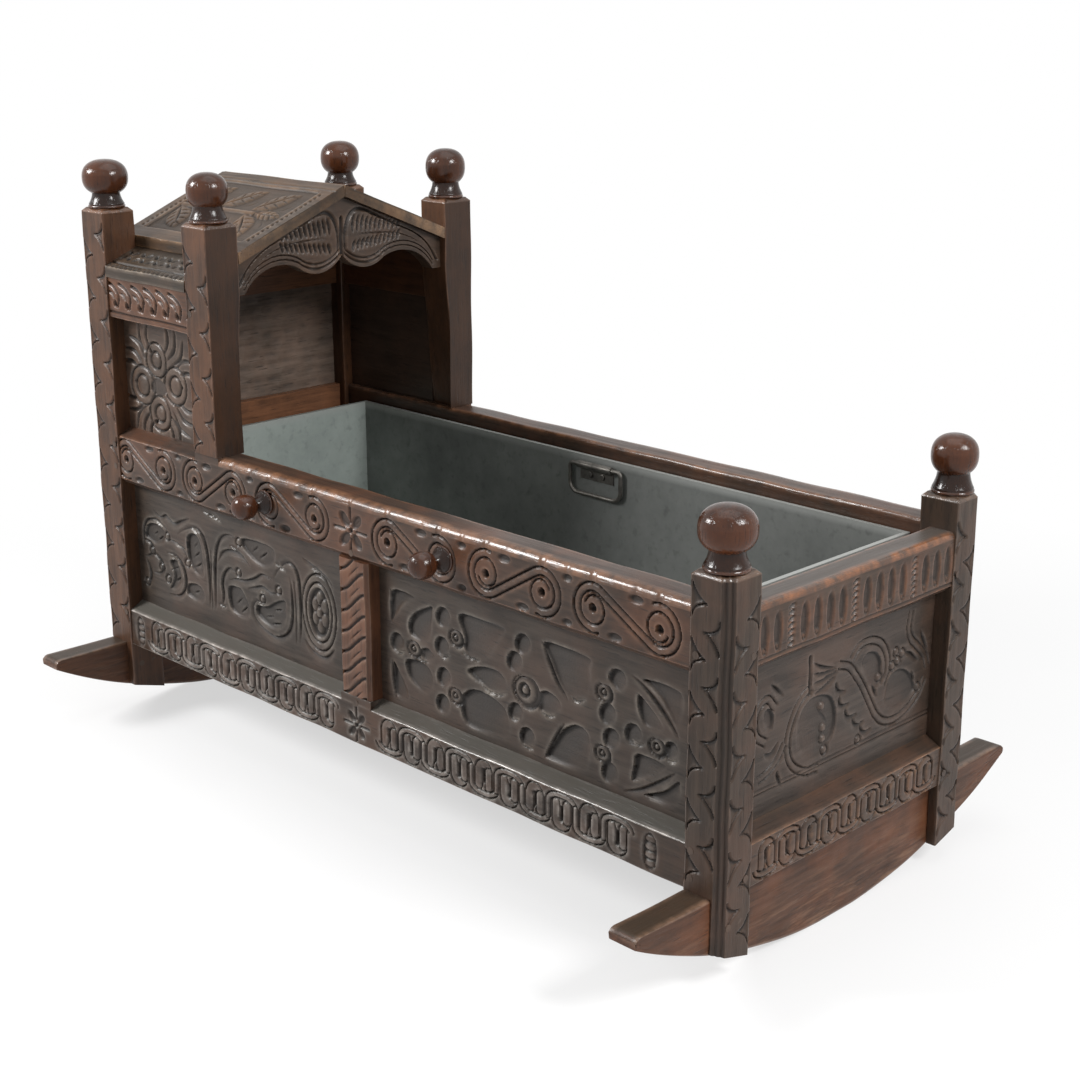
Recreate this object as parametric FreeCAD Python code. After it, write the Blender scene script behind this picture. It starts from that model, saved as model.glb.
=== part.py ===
import FreeCAD, Part
import math
import os

# A joined and pegged oak cradle: six posts, framed panels, a hood at the head and two rockers,
# holding a zinc liner with a drop handle on each long wall.
# Millimetres. X runs from the head (minus) to the foot (plus), Y from the left side (minus) to the
# right side as seen from the foot, Z up from the floor. The origin is on the floor under the middle.

# Whole frame
frame_length = 950.0            # over the outer faces of the corner posts
frame_width = 380.0             # over the outer faces of the posts
post_size = 42.0                # square section of every post
foot_post_rise = 29.0           # foot posts above the side rails
hood_post_rise = 250.0          # head and hood posts above the side rails
hood_length = 238.0             # outer face of the head posts to front face of the hood posts
hood_post_taper = 15.0          # wood hewn off the inner face of a hood post at its foot
corner_chamfer = 9.0            # along the outer corner of the foot posts
top_chamfer = 8.0               # along one edge of a post above its rails
post_top_bevel = 2.5

# Rockers
rocker_span = 570.0             # tip to tip
rocker_depth = 86.0             # top edge above the floor
rocker_flat = 50.0              # worn flat under the middle
rocker_tip = 10.0               # height of the board at its tips
rocker_tip_round = 4.0
cheek = 11.0                    # wood of the post left standing beside the rocker
cheek_lift = 1.5                # cheek ends above the rolling edge by this much

# Rails and muntins
rail_setback = 2.0              # outer face of the rails behind the face of the posts
side_rail_thickness = 34.0
end_rail_thickness = 30.0
side_top_rail_top = 351.0
side_top_rail_height = 65.0
side_bottom_rail_height = 52.0
foot_rail_drop = 4.0            # foot top rail below the side rails
foot_top_rail_height = 59.0
end_bottom_rail_height = 50.0
head_mid_rail_height = 60.0
hood_rail_height = 46.0
muntin_width = 46.0
muntin_offset = -14.0           # the muntin stands a little nearer the head
rail_top_round = 8.0
rail_top_round_inner = 4.0
moulding = 6.0                  # worked on the lower edge of the upper rails
ledge_drop = 9.0                # slope worked on the upper edge of the lower rails
muntin_chamfer = 3.0

# Joints
tenon_thickness = 11.0
tenon_shoulder = 10.0           # rail height left above and below its tenon
wood_between_tenons = 3.0
fit_clearance = 0.2
round_clearance = 0.3
groove_depth = 8.0
panel_room = 1.0                # room for the panels to swell
panel_thickness = 10.0
panel_recess = 17.0             # front of a panel behind the face of its rails
peg_diameter = 7.0
peg_depth = 28.0
peg_spread = 13.0               # half the distance between two pegs of one tenon
rocker_peg_rise = 58.5          # pegs of the rockers above the floor
rocker_peg_inset = 12.6         # and inside the faces of the post

# Hood roof
ridge_rise = 28.0               # ridge above the tops of the posts
roof_fall = 60.0                # from the ridge to the inner faces of the posts
roof_board = 12.0
roof_setback = 11.0             # roof boards stop short of the head end
eave_lap = 12.0                 # upper board over the eave board
gable_thickness = 18.0
gable_setback = 9.0             # front gable behind the front of the hood posts
gable_tail_drop = 35.0          # tails of the front gable below the roof
gable_cusp_rise = 30.0          # points of the lobed edge above the tails
gable_lobe_rise = 12.5
gable_lobe_offset = 32.0        # and their places from the middle
gable_join_rise = 21.0
gable_join_offset = 60.0
gable_arch_rise = 27.0
gable_arch_offset = 87.0
gable_tail_width = 13.0

# Carving: the main hollows cut into the head-ward side panels, as places along X and Z
panel_ground = 3.0              # depth of the ground between the raised forms
head_panel_grounds = [
    [(-416, 219), (-415, 233), (-403, 240), (-386, 240), (-374, 233), (-378, 220), (-396, 214)],
    [(-369, 201), (-356, 203), (-347, 192), (-347, 178), (-357, 168), (-371, 167), (-362, 184)],
    [(-331, 238), (-315, 245), (-304, 236), (-300, 215), (-301, 196), (-317, 196), (-330, 212)],
    [(-338, 178), (-322, 184), (-306, 182), (-300, 171), (-306, 163), (-324, 162), (-337, 167)],
    [(-255, 196), (-252, 172), (-236, 164), (-218, 166), (-214, 178), (-220, 190), (-232, 200)],
    [(-202, 187), (-202, 176), (-188, 168), (-170, 165), (-155, 172), (-148, 186), (-150, 204), (-166, 200),
     (-184, 190)],
    [(-225, 250), (-224, 260), (-190, 262), (-166, 258), (-166, 243), (-184, 233), (-206, 238)],
    [(-92, 237), (-106, 206), (-92, 175), (-78, 206)],
]

# Carving of the roof boards: a spray of leaves left standing in a sunk field
roof_ground = 2.4
roof_border = 19.0              # plain border round the field
spray_stem = 7.0
spray_pairs = 3
spray_pitch = 60.0              # from one pair of leaves to the next
spray_first = 5.0               # first pair from the border at the head end
spray_turn = 45.0               # degrees between a leaf and the stem
leaf_length = 60.0
leaf_width = 30.0
end_leaf_length = 46.0
end_leaf_width = 18.0

# Floor
cleat_size = 18.0
cleat_rise = 6.0                # cleats above the lower edge of the rails
floor_board = 12.0
floor_board_count = 5
floor_gap = 2.0

# Finials: ball width, ball height and height of the cove under it
finials = {
    "head_left": (51.0, 36.0, 19.7),
    "head_right": (48.0, 38.0, 18.9),
    "hood_left": (44.0, 38.0, 18.3),
    "hood_right": (46.5, 42.0, 18.2),
    "foot_left": (51.0, 43.0, 15.8),
    "foot_right": (45.0, 40.0, 20.3),
}
finial_base = 41.0
finial_lip = 3.0
finial_neck = 31.0
spigot_diameter = 14.0
spigot_length = 26.0
ball_steps = 10                 # points along the curve of a turned ball
ball_fullness = 0.85            # 1 is an oval; less is fuller at the shoulders
cove_hollow = 0.3               # how far out and up the middle of a cove lies, as a share of it

# Lacing knobs
knob_spacing = 280.0            # between the two knobs of one side
knob_ball = 27.0
knob_neck = 13.0
knob_base = 27.0
knob_lip = 3.0
knob_cove = 15.0
knob_spigot_diameter = 10.0
knob_spigot_length = 20.0

# Zinc liner
liner_head_gap = 42.0           # head wall of the liner from the inner face of the head posts' line
liner_foot_gap = 15.0           # foot wall from the inner face of the foot posts' line
liner_side_gap = 7.0            # long walls from the inner faces of the rails
liner_rim_drop = 15.0           # rim below the side rails
sheet = 1.2
rim_fold = 4.0
rim_fold_height = 8.0

# Drop handles of the liner
bail_width = 82.0               # over the wire
bail_drop = 36.0                # pivot to the lower edge of the wire
bail_wire = 5.0
bail_bend = 12.0                # bend of the lower corners, at the middle of the wire
bail_bend_top = 5.0
clip_width = 50.0
clip_sheet = 1.4
clip_drop = 17.0                # plate of the clip below the pivot
bail_top_gap = 10.0             # pivot below the rim
rivet_spacing = 18.0
rivet_shank = 3.0
rivet_head = 7.0
rivet_head_height = 1.8
rivet_crown = 1.1               # round of a rivet's head
rivet_drop = 10.5               # rivets below the pivot

# Worked-out places
x_foot = frame_length / 2.0
x_head = -x_foot
x_foot_in = x_foot - post_size
x_head_in = x_head + post_size
x_hood_front = x_head + hood_length
x_hood_back = x_hood_front - post_size
y_out = -frame_width / 2.0
y_in = y_out + post_size
y_rail = y_out + rail_setback
y_rail_in = y_rail + side_rail_thickness
y_tenon = y_rail + side_rail_thickness / 2.0
x_foot_rail = x_foot - rail_setback
x_foot_tenon = x_foot_rail - end_rail_thickness / 2.0
x_head_rail = x_head + rail_setback
x_head_tenon = x_head_rail + end_rail_thickness / 2.0
deepest_rail = max(side_rail_thickness, end_rail_thickness)
tenon_length = post_size - rail_setback - (deepest_rail + tenon_thickness) / 2.0 - wood_between_tenons
side_top_rail_bottom = side_top_rail_top - side_top_rail_height
foot_post_top = side_top_rail_top + foot_post_rise
hood_post_top = side_top_rail_top + hood_post_rise
bottom_rail_bottom = rocker_depth
side_bottom_rail_top = bottom_rail_bottom + side_bottom_rail_height
end_bottom_rail_top = bottom_rail_bottom + end_bottom_rail_height
foot_top_rail_top = side_top_rail_top - foot_rail_drop
foot_top_rail_bottom = foot_top_rail_top - foot_top_rail_height
head_mid_rail_top = side_top_rail_top
head_mid_rail_bottom = head_mid_rail_top - head_mid_rail_height
roof_slope = roof_fall / -y_in
roof_drop = roof_board * math.sqrt(1.0 + roof_slope ** 2)
ridge_top = hood_post_top + ridge_rise
ridge_under = ridge_top - roof_drop
eave_under = ridge_under - roof_drop
hood_rail_top = eave_under + roof_slope * y_rail
hood_rail_bottom = hood_rail_top - hood_rail_height
muntin_head_face = muntin_offset - muntin_width / 2.0
muntin_foot_face = muntin_offset + muntin_width / 2.0
cleat_bottom = bottom_rail_bottom + cleat_rise
floor_bottom = cleat_bottom + cleat_size
floor_top = floor_bottom + floor_board
liner_rim_top = side_top_rail_top - liner_rim_drop
liner_head = x_head_in + liner_head_gap
liner_foot = x_foot_in - liner_foot_gap
liner_side = y_rail_in + liner_side_gap
tip_rise = rocker_depth - rocker_tip
rocker_radius = ((rocker_span / 2.0) ** 2 + tip_rise ** 2) / (2.0 * tip_rise)
beyond = frame_length           # long enough to pass right through
past = 1.0                      # how far a cutter runs past the face it starts from
same = 0.01                     # two places closer than this are one


def at(x, y, z):
    return FreeCAD.Vector(x, y, z)


def block(x0, x1, y0, y1, z0, z1):
    return Part.makeBox(x1 - x0, y1 - y0, z1 - z0, at(x0, y0, z0))


def rod(start, direction, diameter, length):
    return Part.makeCylinder(diameter / 2.0, length, start, direction)


def prism(points, along):
    return Part.Face(Part.makePolygon(points + points[:1])).extrude(along)


def prism_x(points, x0, x1):
    return prism([at(x0, y, z) for y, z in points], at(x1 - x0, 0, 0))


def prism_y(points, y0, y1):
    return prism([at(x, y0, z) for x, z in points], at(0, y1 - y0, 0))


def prism_z(points, z0, z1):
    return prism([at(x, y, z0) for x, y in points], at(0, 0, z1 - z0))


def mirrored(shape):
    return shape.mirror(at(0, 0, 0), at(0, 1, 0))


os.makedirs("parts", exist_ok=True)


def save(name, shape):
    shape.exportStep("parts/" + name + ".step")


def save_pair(name, shape):
    save(name + "_left", shape)
    save(name + "_right", mirrored(shape))


# Tenons, and the mortises that take them

def side_tenon(x_shoulder, sense, z0, z1, room=0.0):
    """Tenon of a side rail, along X; room makes it the mortise."""
    x_end = x_shoulder + sense * (tenon_length + room)
    half = tenon_thickness / 2.0 + room
    return block(min(x_shoulder, x_end), max(x_shoulder, x_end), y_tenon - half, y_tenon + half,
                 z0 + tenon_shoulder - room, z1 - tenon_shoulder + room)


def end_tenon(x_middle, z0, z1, room=0.0):
    """Tenon of an end rail into a left post, along Y; room makes it the mortise."""
    half = tenon_thickness / 2.0 + room
    return block(x_middle - half, x_middle + half, y_in - tenon_length - room, y_in,
                 z0 + tenon_shoulder - room, z1 - tenon_shoulder + room)


def both_ends(shape):
    return [shape, mirrored(shape)]


# Pegs: each is a rod, and its hole is the same rod with room round it

def side_peg(x, z, room=0.0):
    return rod(at(x, y_out, z), at(0, 1, 0), peg_diameter + 2.0 * room, peg_depth)


def end_peg(x_face, sense, y, z, room=0.0):
    return rod(at(x_face, y, z), at(-sense, 0, 0), peg_diameter + 2.0 * room, peg_depth)


def pair_heights(z0, z1):
    middle = (z0 + z1) / 2.0
    return [middle - peg_spread, middle + peg_spread]


peg_x_foot = x_foot_in + tenon_length / 2.0
peg_x_head = x_head_in - tenon_length / 2.0
peg_x_hood = x_hood_back + tenon_length / 2.0
peg_y_end = y_in - tenon_length / 2.0
top_pegs = pair_heights(side_top_rail_bottom, side_top_rail_top)
bottom_pegs = pair_heights(bottom_rail_bottom, side_bottom_rail_top)
hood_peg = (hood_rail_bottom + hood_rail_top) / 2.0
foot_top_pegs = pair_heights(foot_top_rail_bottom, foot_top_rail_top)
end_bottom_pegs = pair_heights(bottom_rail_bottom, end_bottom_rail_top)
head_mid_pegs = pair_heights(head_mid_rail_bottom, head_mid_rail_top)


def side_pegs(room=0.0):
    places = [(peg_x_foot, z) for z in top_pegs + bottom_pegs]
    places += [(peg_x_head, z) for z in top_pegs + bottom_pegs + [hood_peg]]
    places += [(peg_x_hood, hood_peg)]
    return [side_peg(x, z, room) for x, z in places]


def foot_pegs(room=0.0):
    return [end_peg(x_foot, 1, peg_y_end, z, room) for z in foot_top_pegs + end_bottom_pegs]


def head_pegs(room=0.0):
    return [end_peg(x_head, -1, peg_y_end, z, room) for z in head_mid_pegs + end_bottom_pegs + [hood_peg]]


rocker_x_foot = (x_foot_in, x_foot - cheek)
rocker_x_head = (x_head, x_head_in - cheek)
rocker_peg_y = [y_out + rocker_peg_inset, y_in - rocker_peg_inset]


def rocker_pegs(x_face, room=0.0):
    return [end_peg(x_face, 1, y, rocker_peg_rise, room) for y in rocker_peg_y]


# Panels, and the grooves that hold them

def side_panel(x0, x1, z0, z1, room=0.0):
    """Panel between two uprights and two rails; room makes it the groove."""
    y_front = y_rail + panel_recess
    depth = groove_depth - panel_room + (panel_room if room else 0.0)
    return block(x0 - depth, x1 + depth, y_front - room, y_front + panel_thickness + room,
                 z0 - groove_depth, z1 + depth)


def end_panel(x_front, z0, z1, room=0.0):
    depth = groove_depth - panel_room + (panel_room if room else 0.0)
    return block(x_front - room, x_front + panel_thickness + room, y_in - depth, -y_in + depth,
                 z0 - groove_depth, z1 + depth)


def hood_panel(room=0.0):
    return side_panel(x_head_in, x_hood_back, side_top_rail_top, hood_rail_bottom, room)


def side_panels(room=0.0):
    z0 = side_bottom_rail_top
    z1 = side_top_rail_bottom
    return [side_panel(x_head_in, muntin_head_face, z0, z1, room),
            side_panel(muntin_foot_face, x_foot_in, z0, z1, room)]


def sunk_ground(points):
    """A hollow of the carving of a left side panel, inside a smooth closed line."""
    y_front = y_rail + panel_recess
    line = Part.BSplineCurve()
    line.interpolate([at(x, y_front - fit_clearance, z) for x, z in points], PeriodicFlag=True)
    return Part.Face(Part.Wire([line.toShape()])).extrude(at(0, panel_ground + fit_clearance, 0))


x_foot_panel = x_foot_rail - panel_recess - panel_thickness
x_head_panel = x_head_rail + panel_thickness


def foot_panel(room=0.0):
    return end_panel(x_foot_panel, end_bottom_rail_top, foot_top_rail_bottom, room)


def head_panels(room=0.0):
    return [end_panel(x_head_panel, end_bottom_rail_top, head_mid_rail_bottom, room),
            end_panel(x_head_panel, head_mid_rail_top, hood_rail_bottom, room)]


# Turned pieces

def turned(base, lip, neck, cove, ball_width, ball_height, spigot, spigot_depth):
    """Ball on a neck over a cove, standing on a round base with a spigot below; axis +Z from the seat."""
    a = ball_width / 2.0
    b = ball_height / 2.0
    r_neck = neck / 2.0
    r_base = base / 2.0
    start = -math.acos((r_neck / a) ** (1.0 / ball_fullness))
    middle = cove + b * math.sin(-start) ** ball_fullness
    hollow = at(r_neck + cove_hollow * (r_base - r_neck), 0, lip + cove_hollow * (cove - lip))
    corners = [at(0, 0, -spigot_depth), at(spigot / 2.0, 0, -spigot_depth), at(spigot / 2.0, 0, 0),
               at(r_base, 0, 0), at(r_base, 0, lip)]
    edges = [Part.makeLine(p, q) for p, q in zip(corners, corners[1:])]
    edges.append(Part.Arc(corners[-1], hollow, at(r_neck, 0, cove)).toShape())
    ball = []
    for step in range(ball_steps + 1):
        angle = start + (math.pi / 2.0 - start) * step / ball_steps
        out = a * abs(math.cos(angle)) ** ball_fullness
        up = math.copysign(abs(math.sin(angle)) ** ball_fullness, angle)
        ball.append(at(out, 0, middle + b * up))
    curve = Part.BSplineCurve()
    curve.interpolate(ball)
    edges.append(curve.toShape())
    edges.append(Part.makeLine(ball[-1], corners[0]))
    return Part.Face(Part.Wire(edges)).revolve(at(0, 0, 0), at(0, 0, 1), 360.0)


def socket(x, y, z):
    return rod(at(x, y, z), at(0, 0, -1), spigot_diameter + 2.0 * round_clearance,
               spigot_length + panel_room)


# Posts

def bevelled_top(post, x0, x1, z):
    """The same post with a small bevel round its top."""
    lower = Part.makePolygon([at(x0, y_out, z - post_top_bevel), at(x1, y_out, z - post_top_bevel),
                              at(x1, y_in, z - post_top_bevel), at(x0, y_in, z - post_top_bevel),
                              at(x0, y_out, z - post_top_bevel)])
    b = post_top_bevel
    upper = Part.makePolygon([at(x0 + b, y_out + b, z), at(x1 - b, y_out + b, z),
                              at(x1 - b, y_in - b, z), at(x0 + b, y_in - b, z), at(x0 + b, y_out + b, z)])
    cap = Part.makeLoft([lower, upper], True, True)
    return post.fuse(cap).removeSplitter()


def edge_chamfer(x_edge, y_edge, x_sense, y_sense, size, z0, z1):
    """Wood taken off one upright edge; the senses point out of the post."""
    points = [(x_edge + x_sense * past, y_edge + y_sense * past),
              (x_edge + x_sense * past, y_edge - y_sense * size),
              (x_edge, y_edge - y_sense * size), (x_edge - x_sense * size, y_edge),
              (x_edge - x_sense * size, y_edge + y_sense * past)]
    return prism_z(points, z0, z1)


rolling = Part.makeCylinder(rocker_radius - cheek_lift, 2.0 * beyond, at(-beyond, 0, rocker_radius),
                            at(1, 0, 0))


def corner_post(x0, x1, top, rocker_x):
    post = block(x0, x1, y_out, y_in, 0.0, top - post_top_bevel)
    post = bevelled_top(post, x0, x1, top)
    post = post.cut(block(rocker_x[0], rocker_x[1], y_out - past, y_in + past, -past, rocker_depth))
    return post.common(rolling).cut(socket((x0 + x1) / 2.0, (y_out + y_in) / 2.0, top))


def foot_post():
    post = corner_post(x_foot_in, x_foot, foot_post_top, rocker_x_foot)
    cuts = [side_tenon(x_foot_in, 1, side_top_rail_bottom, side_top_rail_top, fit_clearance),
            side_tenon(x_foot_in, 1, bottom_rail_bottom, side_bottom_rail_top, fit_clearance),
            end_tenon(x_foot_tenon, foot_top_rail_bottom, foot_top_rail_top, fit_clearance),
            end_tenon(x_foot_tenon, bottom_rail_bottom, end_bottom_rail_top, fit_clearance),
            side_panels(fit_clearance)[1], foot_panel(fit_clearance),
            edge_chamfer(x_foot, y_out, 1, -1, corner_chamfer, -past, foot_post_top + past)]
    cuts += side_pegs(round_clearance) + foot_pegs(round_clearance)
    cuts += rocker_pegs(x_foot, round_clearance)
    return post.cut(cuts)


def head_post():
    post = corner_post(x_head, x_head_in, hood_post_top, rocker_x_head)
    chamfer_from = ridge_top - roof_fall
    cuts = [side_tenon(x_head_in, -1, side_top_rail_bottom, side_top_rail_top, fit_clearance),
            side_tenon(x_head_in, -1, bottom_rail_bottom, side_bottom_rail_top, fit_clearance),
            side_tenon(x_head_in, -1, hood_rail_bottom, hood_rail_top, fit_clearance),
            end_tenon(x_head_tenon, head_mid_rail_bottom, head_mid_rail_top, fit_clearance),
            end_tenon(x_head_tenon, bottom_rail_bottom, end_bottom_rail_top, fit_clearance),
            end_tenon(x_head_tenon, hood_rail_bottom, hood_rail_top, fit_clearance),
            side_panels(fit_clearance)[0], hood_panel(fit_clearance),
            edge_chamfer(x_head_in, y_out, 1, -1, top_chamfer, chamfer_from, hood_post_top + past)]
    cuts += head_panels(fit_clearance)
    cuts += side_pegs(round_clearance) + head_pegs(round_clearance)
    cuts += rocker_pegs(x_head_in, round_clearance)
    return post.cut(cuts)


hood_tenon_x = (x_hood_back + x_hood_front) / 2.0
gable_x1 = x_hood_front - gable_setback
gable_x0 = gable_x1 - gable_thickness
gable_tenon_x = (gable_x0 + gable_x1) / 2.0
gable_tail_top = ridge_under - roof_fall
gable_tail_bottom = gable_tail_top - gable_tail_drop


def hood_post_tenon(room=0.0):
    half = tenon_thickness + room
    return block(hood_tenon_x - half, hood_tenon_x + half, y_tenon - half / 2.0, y_tenon + half / 2.0,
                 side_top_rail_top - tenon_length - room, side_top_rail_top)


def gable_tenon(room=0.0):
    half = tenon_thickness / 2.0 + room
    return block(gable_tenon_x - half, gable_tenon_x + half, y_in - tenon_length - room, y_in,
                 gable_tail_bottom + tenon_shoulder - room, gable_tail_top - tenon_shoulder + room)


def hood_post():
    post = block(x_hood_back, x_hood_front, y_out, y_in, side_top_rail_top, hood_post_top - post_top_bevel)
    post = bevelled_top(post, x_hood_back, x_hood_front, hood_post_top)
    taper = prism_x([(y_in, gable_tail_bottom), (y_in + past, gable_tail_bottom),
                     (y_in + past, side_top_rail_top), (y_in - hood_post_taper, side_top_rail_top)],
                    x_hood_back - past, x_hood_front + past)
    cuts = [taper, side_tenon(x_hood_back, 1, hood_rail_bottom, hood_rail_top, fit_clearance),
            hood_panel(fit_clearance), gable_tenon(fit_clearance),
            socket(hood_tenon_x, (y_out + y_in) / 2.0, hood_post_top)]
    cuts += side_pegs(round_clearance)
    return post.cut(cuts).fuse(hood_post_tenon()).removeSplitter()


foot_post_left = foot_post()
foot_post_right = mirrored(foot_post_left).cut(
    edge_chamfer(x_foot, -y_in, 1, -1, top_chamfer, foot_top_rail_top, foot_post_top + past))
save("foot_post_left", foot_post_left)
save("foot_post_right", foot_post_right)
save_pair("head_post", head_post())
save_pair("hood_post", hood_post())


# Rails of the long sides

def rounded_block(x0, x1, y0, y1, z0, z1, rounds):
    """Block with some of its edges rounded: rounds maps a test of an edge's middle to a radius."""
    shape = block(x0, x1, y0, y1, z0, z1)
    for test, radius in rounds:
        edges = [e for e in shape.Edges if e.Length > post_size and test(e.CenterOfMass)]
        shape = shape.makeFillet(radius, edges)
    return shape


def near_to(value, wanted):
    return abs(value - wanted) < same


def side_ledge(x0, x1, z_top):
    """Slope worked on the upper outer edge of a rail, from the panel to the face."""
    y_panel = y_rail + panel_recess
    return prism_x([(y_rail - past, z_top + past), (y_rail - past, z_top - ledge_drop),
                    (y_rail, z_top - ledge_drop), (y_panel, z_top), (y_panel, z_top + past)], x0, x1)


def side_moulding(x0, x1, z_bottom):
    return prism_x([(y_rail - past, z_bottom - past), (y_rail - past, z_bottom + moulding),
                    (y_rail, z_bottom + moulding), (y_rail + moulding, z_bottom),
                    (y_rail + moulding, z_bottom - past)], x0, x1)


def muntin_tenon(z_shoulder, sense, room=0.0):
    half_width = muntin_width / 2.0 - groove_depth - wood_between_tenons + room
    half = tenon_thickness / 2.0 + room
    z_end = z_shoulder + sense * (tenon_length + room)
    return block(muntin_offset - half_width, muntin_offset + half_width, y_tenon - half, y_tenon + half,
                 min(z_shoulder, z_end), max(z_shoulder, z_end))


def muntin_pegs(room=0.0):
    heights = [side_top_rail_bottom + tenon_length / 2.0, side_bottom_rail_top - tenon_length / 2.0]
    pegs = []
    for z in heights:
        pegs.append(rod(at(muntin_offset, y_rail, z), at(0, 1, 0), peg_diameter + 2.0 * room, peg_depth))
    return pegs


openings = [(x_head_in, muntin_head_face), (muntin_foot_face, x_foot_in)]
knob_x = [muntin_offset - knob_spacing / 2.0, muntin_offset + knob_spacing / 2.0]
knob_z = (side_top_rail_bottom + side_top_rail_top) / 2.0


def side_top_rail():
    hooded = block(x_head_in, x_hood_front, y_rail, y_rail_in, side_top_rail_bottom, side_top_rail_top)
    rounds = [(lambda m: near_to(m.z, side_top_rail_top) and near_to(m.y, y_rail), rail_top_round),
              (lambda m: near_to(m.z, side_top_rail_top) and near_to(m.y, y_rail_in), rail_top_round_inner)]
    open_part = rounded_block(x_hood_front, x_foot_in, y_rail, y_rail_in, side_top_rail_bottom,
                              side_top_rail_top, rounds)
    rail = hooded.fuse([open_part,
                        side_tenon(x_head_in, -1, side_top_rail_bottom, side_top_rail_top),
                        side_tenon(x_foot_in, 1, side_top_rail_bottom, side_top_rail_top)]).removeSplitter()
    cuts = [side_ledge(x_head_in, x_hood_back, side_top_rail_top), hood_post_tenon(fit_clearance),
            hood_panel(fit_clearance), muntin_tenon(side_top_rail_bottom, 1, fit_clearance)]
    cuts += side_panels(fit_clearance)
    cuts += [side_moulding(x0, x1, side_top_rail_bottom) for x0, x1 in openings]
    cuts += side_pegs(round_clearance) + muntin_pegs(round_clearance)
    for x in knob_x:
        cuts.append(rod(at(x, y_rail, knob_z), at(0, 1, 0), knob_spigot_diameter + 2.0 * round_clearance,
                        knob_spigot_length + panel_room))
    return rail.cut(cuts)


def side_bottom_rail():
    rail = block(x_head_in, x_foot_in, y_rail, y_rail_in, bottom_rail_bottom, side_bottom_rail_top)
    rail = rail.fuse([side_tenon(x_head_in, -1, bottom_rail_bottom, side_bottom_rail_top),
                      side_tenon(x_foot_in, 1, bottom_rail_bottom, side_bottom_rail_top)]).removeSplitter()
    cuts = side_panels(fit_clearance) + side_pegs(round_clearance) + muntin_pegs(round_clearance)
    cuts += [side_ledge(x0, x1, side_bottom_rail_top) for x0, x1 in openings]
    cuts.append(muntin_tenon(side_bottom_rail_top, -1, fit_clearance))
    return rail.cut(cuts)


def muntin():
    bar = block(muntin_head_face, muntin_foot_face, y_rail, y_rail_in, side_bottom_rail_top,
                side_top_rail_bottom)
    bar = bar.cut([edge_chamfer(muntin_head_face, y_rail, -1, -1, muntin_chamfer, 0.0, beyond),
                   edge_chamfer(muntin_foot_face, y_rail, 1, -1, muntin_chamfer, 0.0, beyond)])
    bar = bar.fuse([muntin_tenon(side_bottom_rail_top, -1), muntin_tenon(side_top_rail_bottom, 1)])
    return bar.removeSplitter().cut(side_panels(fit_clearance) + muntin_pegs(round_clearance))


def hood_rail():
    inner_top = eave_under + roof_slope * y_rail_in
    rail = prism_x([(y_rail, hood_rail_bottom), (y_rail_in, hood_rail_bottom), (y_rail_in, inner_top),
                    (y_rail, hood_rail_top)], x_head_in, x_hood_back)
    rail = rail.fuse([side_tenon(x_head_in, -1, hood_rail_bottom, hood_rail_top),
                      side_tenon(x_hood_back, 1, hood_rail_bottom, hood_rail_top)]).removeSplitter()
    cuts = [hood_panel(fit_clearance), side_moulding(x_head_in, x_hood_back, hood_rail_bottom)]
    return rail.cut(cuts + side_pegs(round_clearance))


save_pair("side_top_rail", side_top_rail())
save_pair("side_bottom_rail", side_bottom_rail())
save_pair("side_muntin", muntin())
save_pair("side_panel_head", side_panels()[0].cut([sunk_ground(points) for points in head_panel_grounds]))
save_pair("side_panel_foot", side_panels()[1])
save_pair("hood_rail", hood_rail())
save_pair("hood_panel", hood_panel())


# Rails and panels of the two ends

def end_rail(x_outer, sense, z0, z1, rounds):
    x_inner = x_outer - sense * end_rail_thickness
    bar = rounded_block(min(x_outer, x_inner), max(x_outer, x_inner), y_in, -y_in, z0, z1, rounds)
    tenon = end_tenon(x_outer - sense * end_rail_thickness / 2.0, z0, z1)
    return bar.fuse(both_ends(tenon)).removeSplitter()


def foot_ledge(z_top):
    x_panel = x_foot_rail - panel_recess
    return prism_y([(x_foot_rail + past, z_top + past), (x_foot_rail + past, z_top - ledge_drop),
                    (x_foot_rail, z_top - ledge_drop), (x_panel, z_top), (x_panel, z_top + past)],
                   y_in, -y_in)


def foot_moulding(z_bottom):
    return prism_y([(x_foot_rail + past, z_bottom - past), (x_foot_rail + past, z_bottom + moulding),
                    (x_foot_rail, z_bottom + moulding), (x_foot_rail - moulding, z_bottom),
                    (x_foot_rail - moulding, z_bottom - past)], y_in, -y_in)


def on_both_sides(shapes):
    return shapes + [mirrored(shape) for shape in shapes]


foot_rounds = [(lambda m: near_to(m.z, foot_top_rail_top) and near_to(m.x, x_foot_rail), rail_top_round),
               (lambda m: near_to(m.z, foot_top_rail_top) and m.x < x_foot_rail - past, rail_top_round_inner)]
foot_top_rail = end_rail(x_foot_rail, 1, foot_top_rail_bottom, foot_top_rail_top, foot_rounds)
foot_top_rail = foot_top_rail.cut([foot_moulding(foot_top_rail_bottom), foot_panel(fit_clearance)]
                                  + on_both_sides(foot_pegs(round_clearance)))
foot_bottom_rail = end_rail(x_foot_rail, 1, bottom_rail_bottom, end_bottom_rail_top, [])
foot_bottom_rail = foot_bottom_rail.cut([foot_ledge(end_bottom_rail_top), foot_panel(fit_clearance)]
                                        + on_both_sides(foot_pegs(round_clearance)))
head_grooves = head_panels(fit_clearance) + on_both_sides(head_pegs(round_clearance))
head_bottom_rail = end_rail(x_head_rail, -1, bottom_rail_bottom, end_bottom_rail_top, []).cut(head_grooves)
head_mid_rail = end_rail(x_head_rail, -1, head_mid_rail_bottom, head_mid_rail_top, []).cut(head_grooves)


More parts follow.
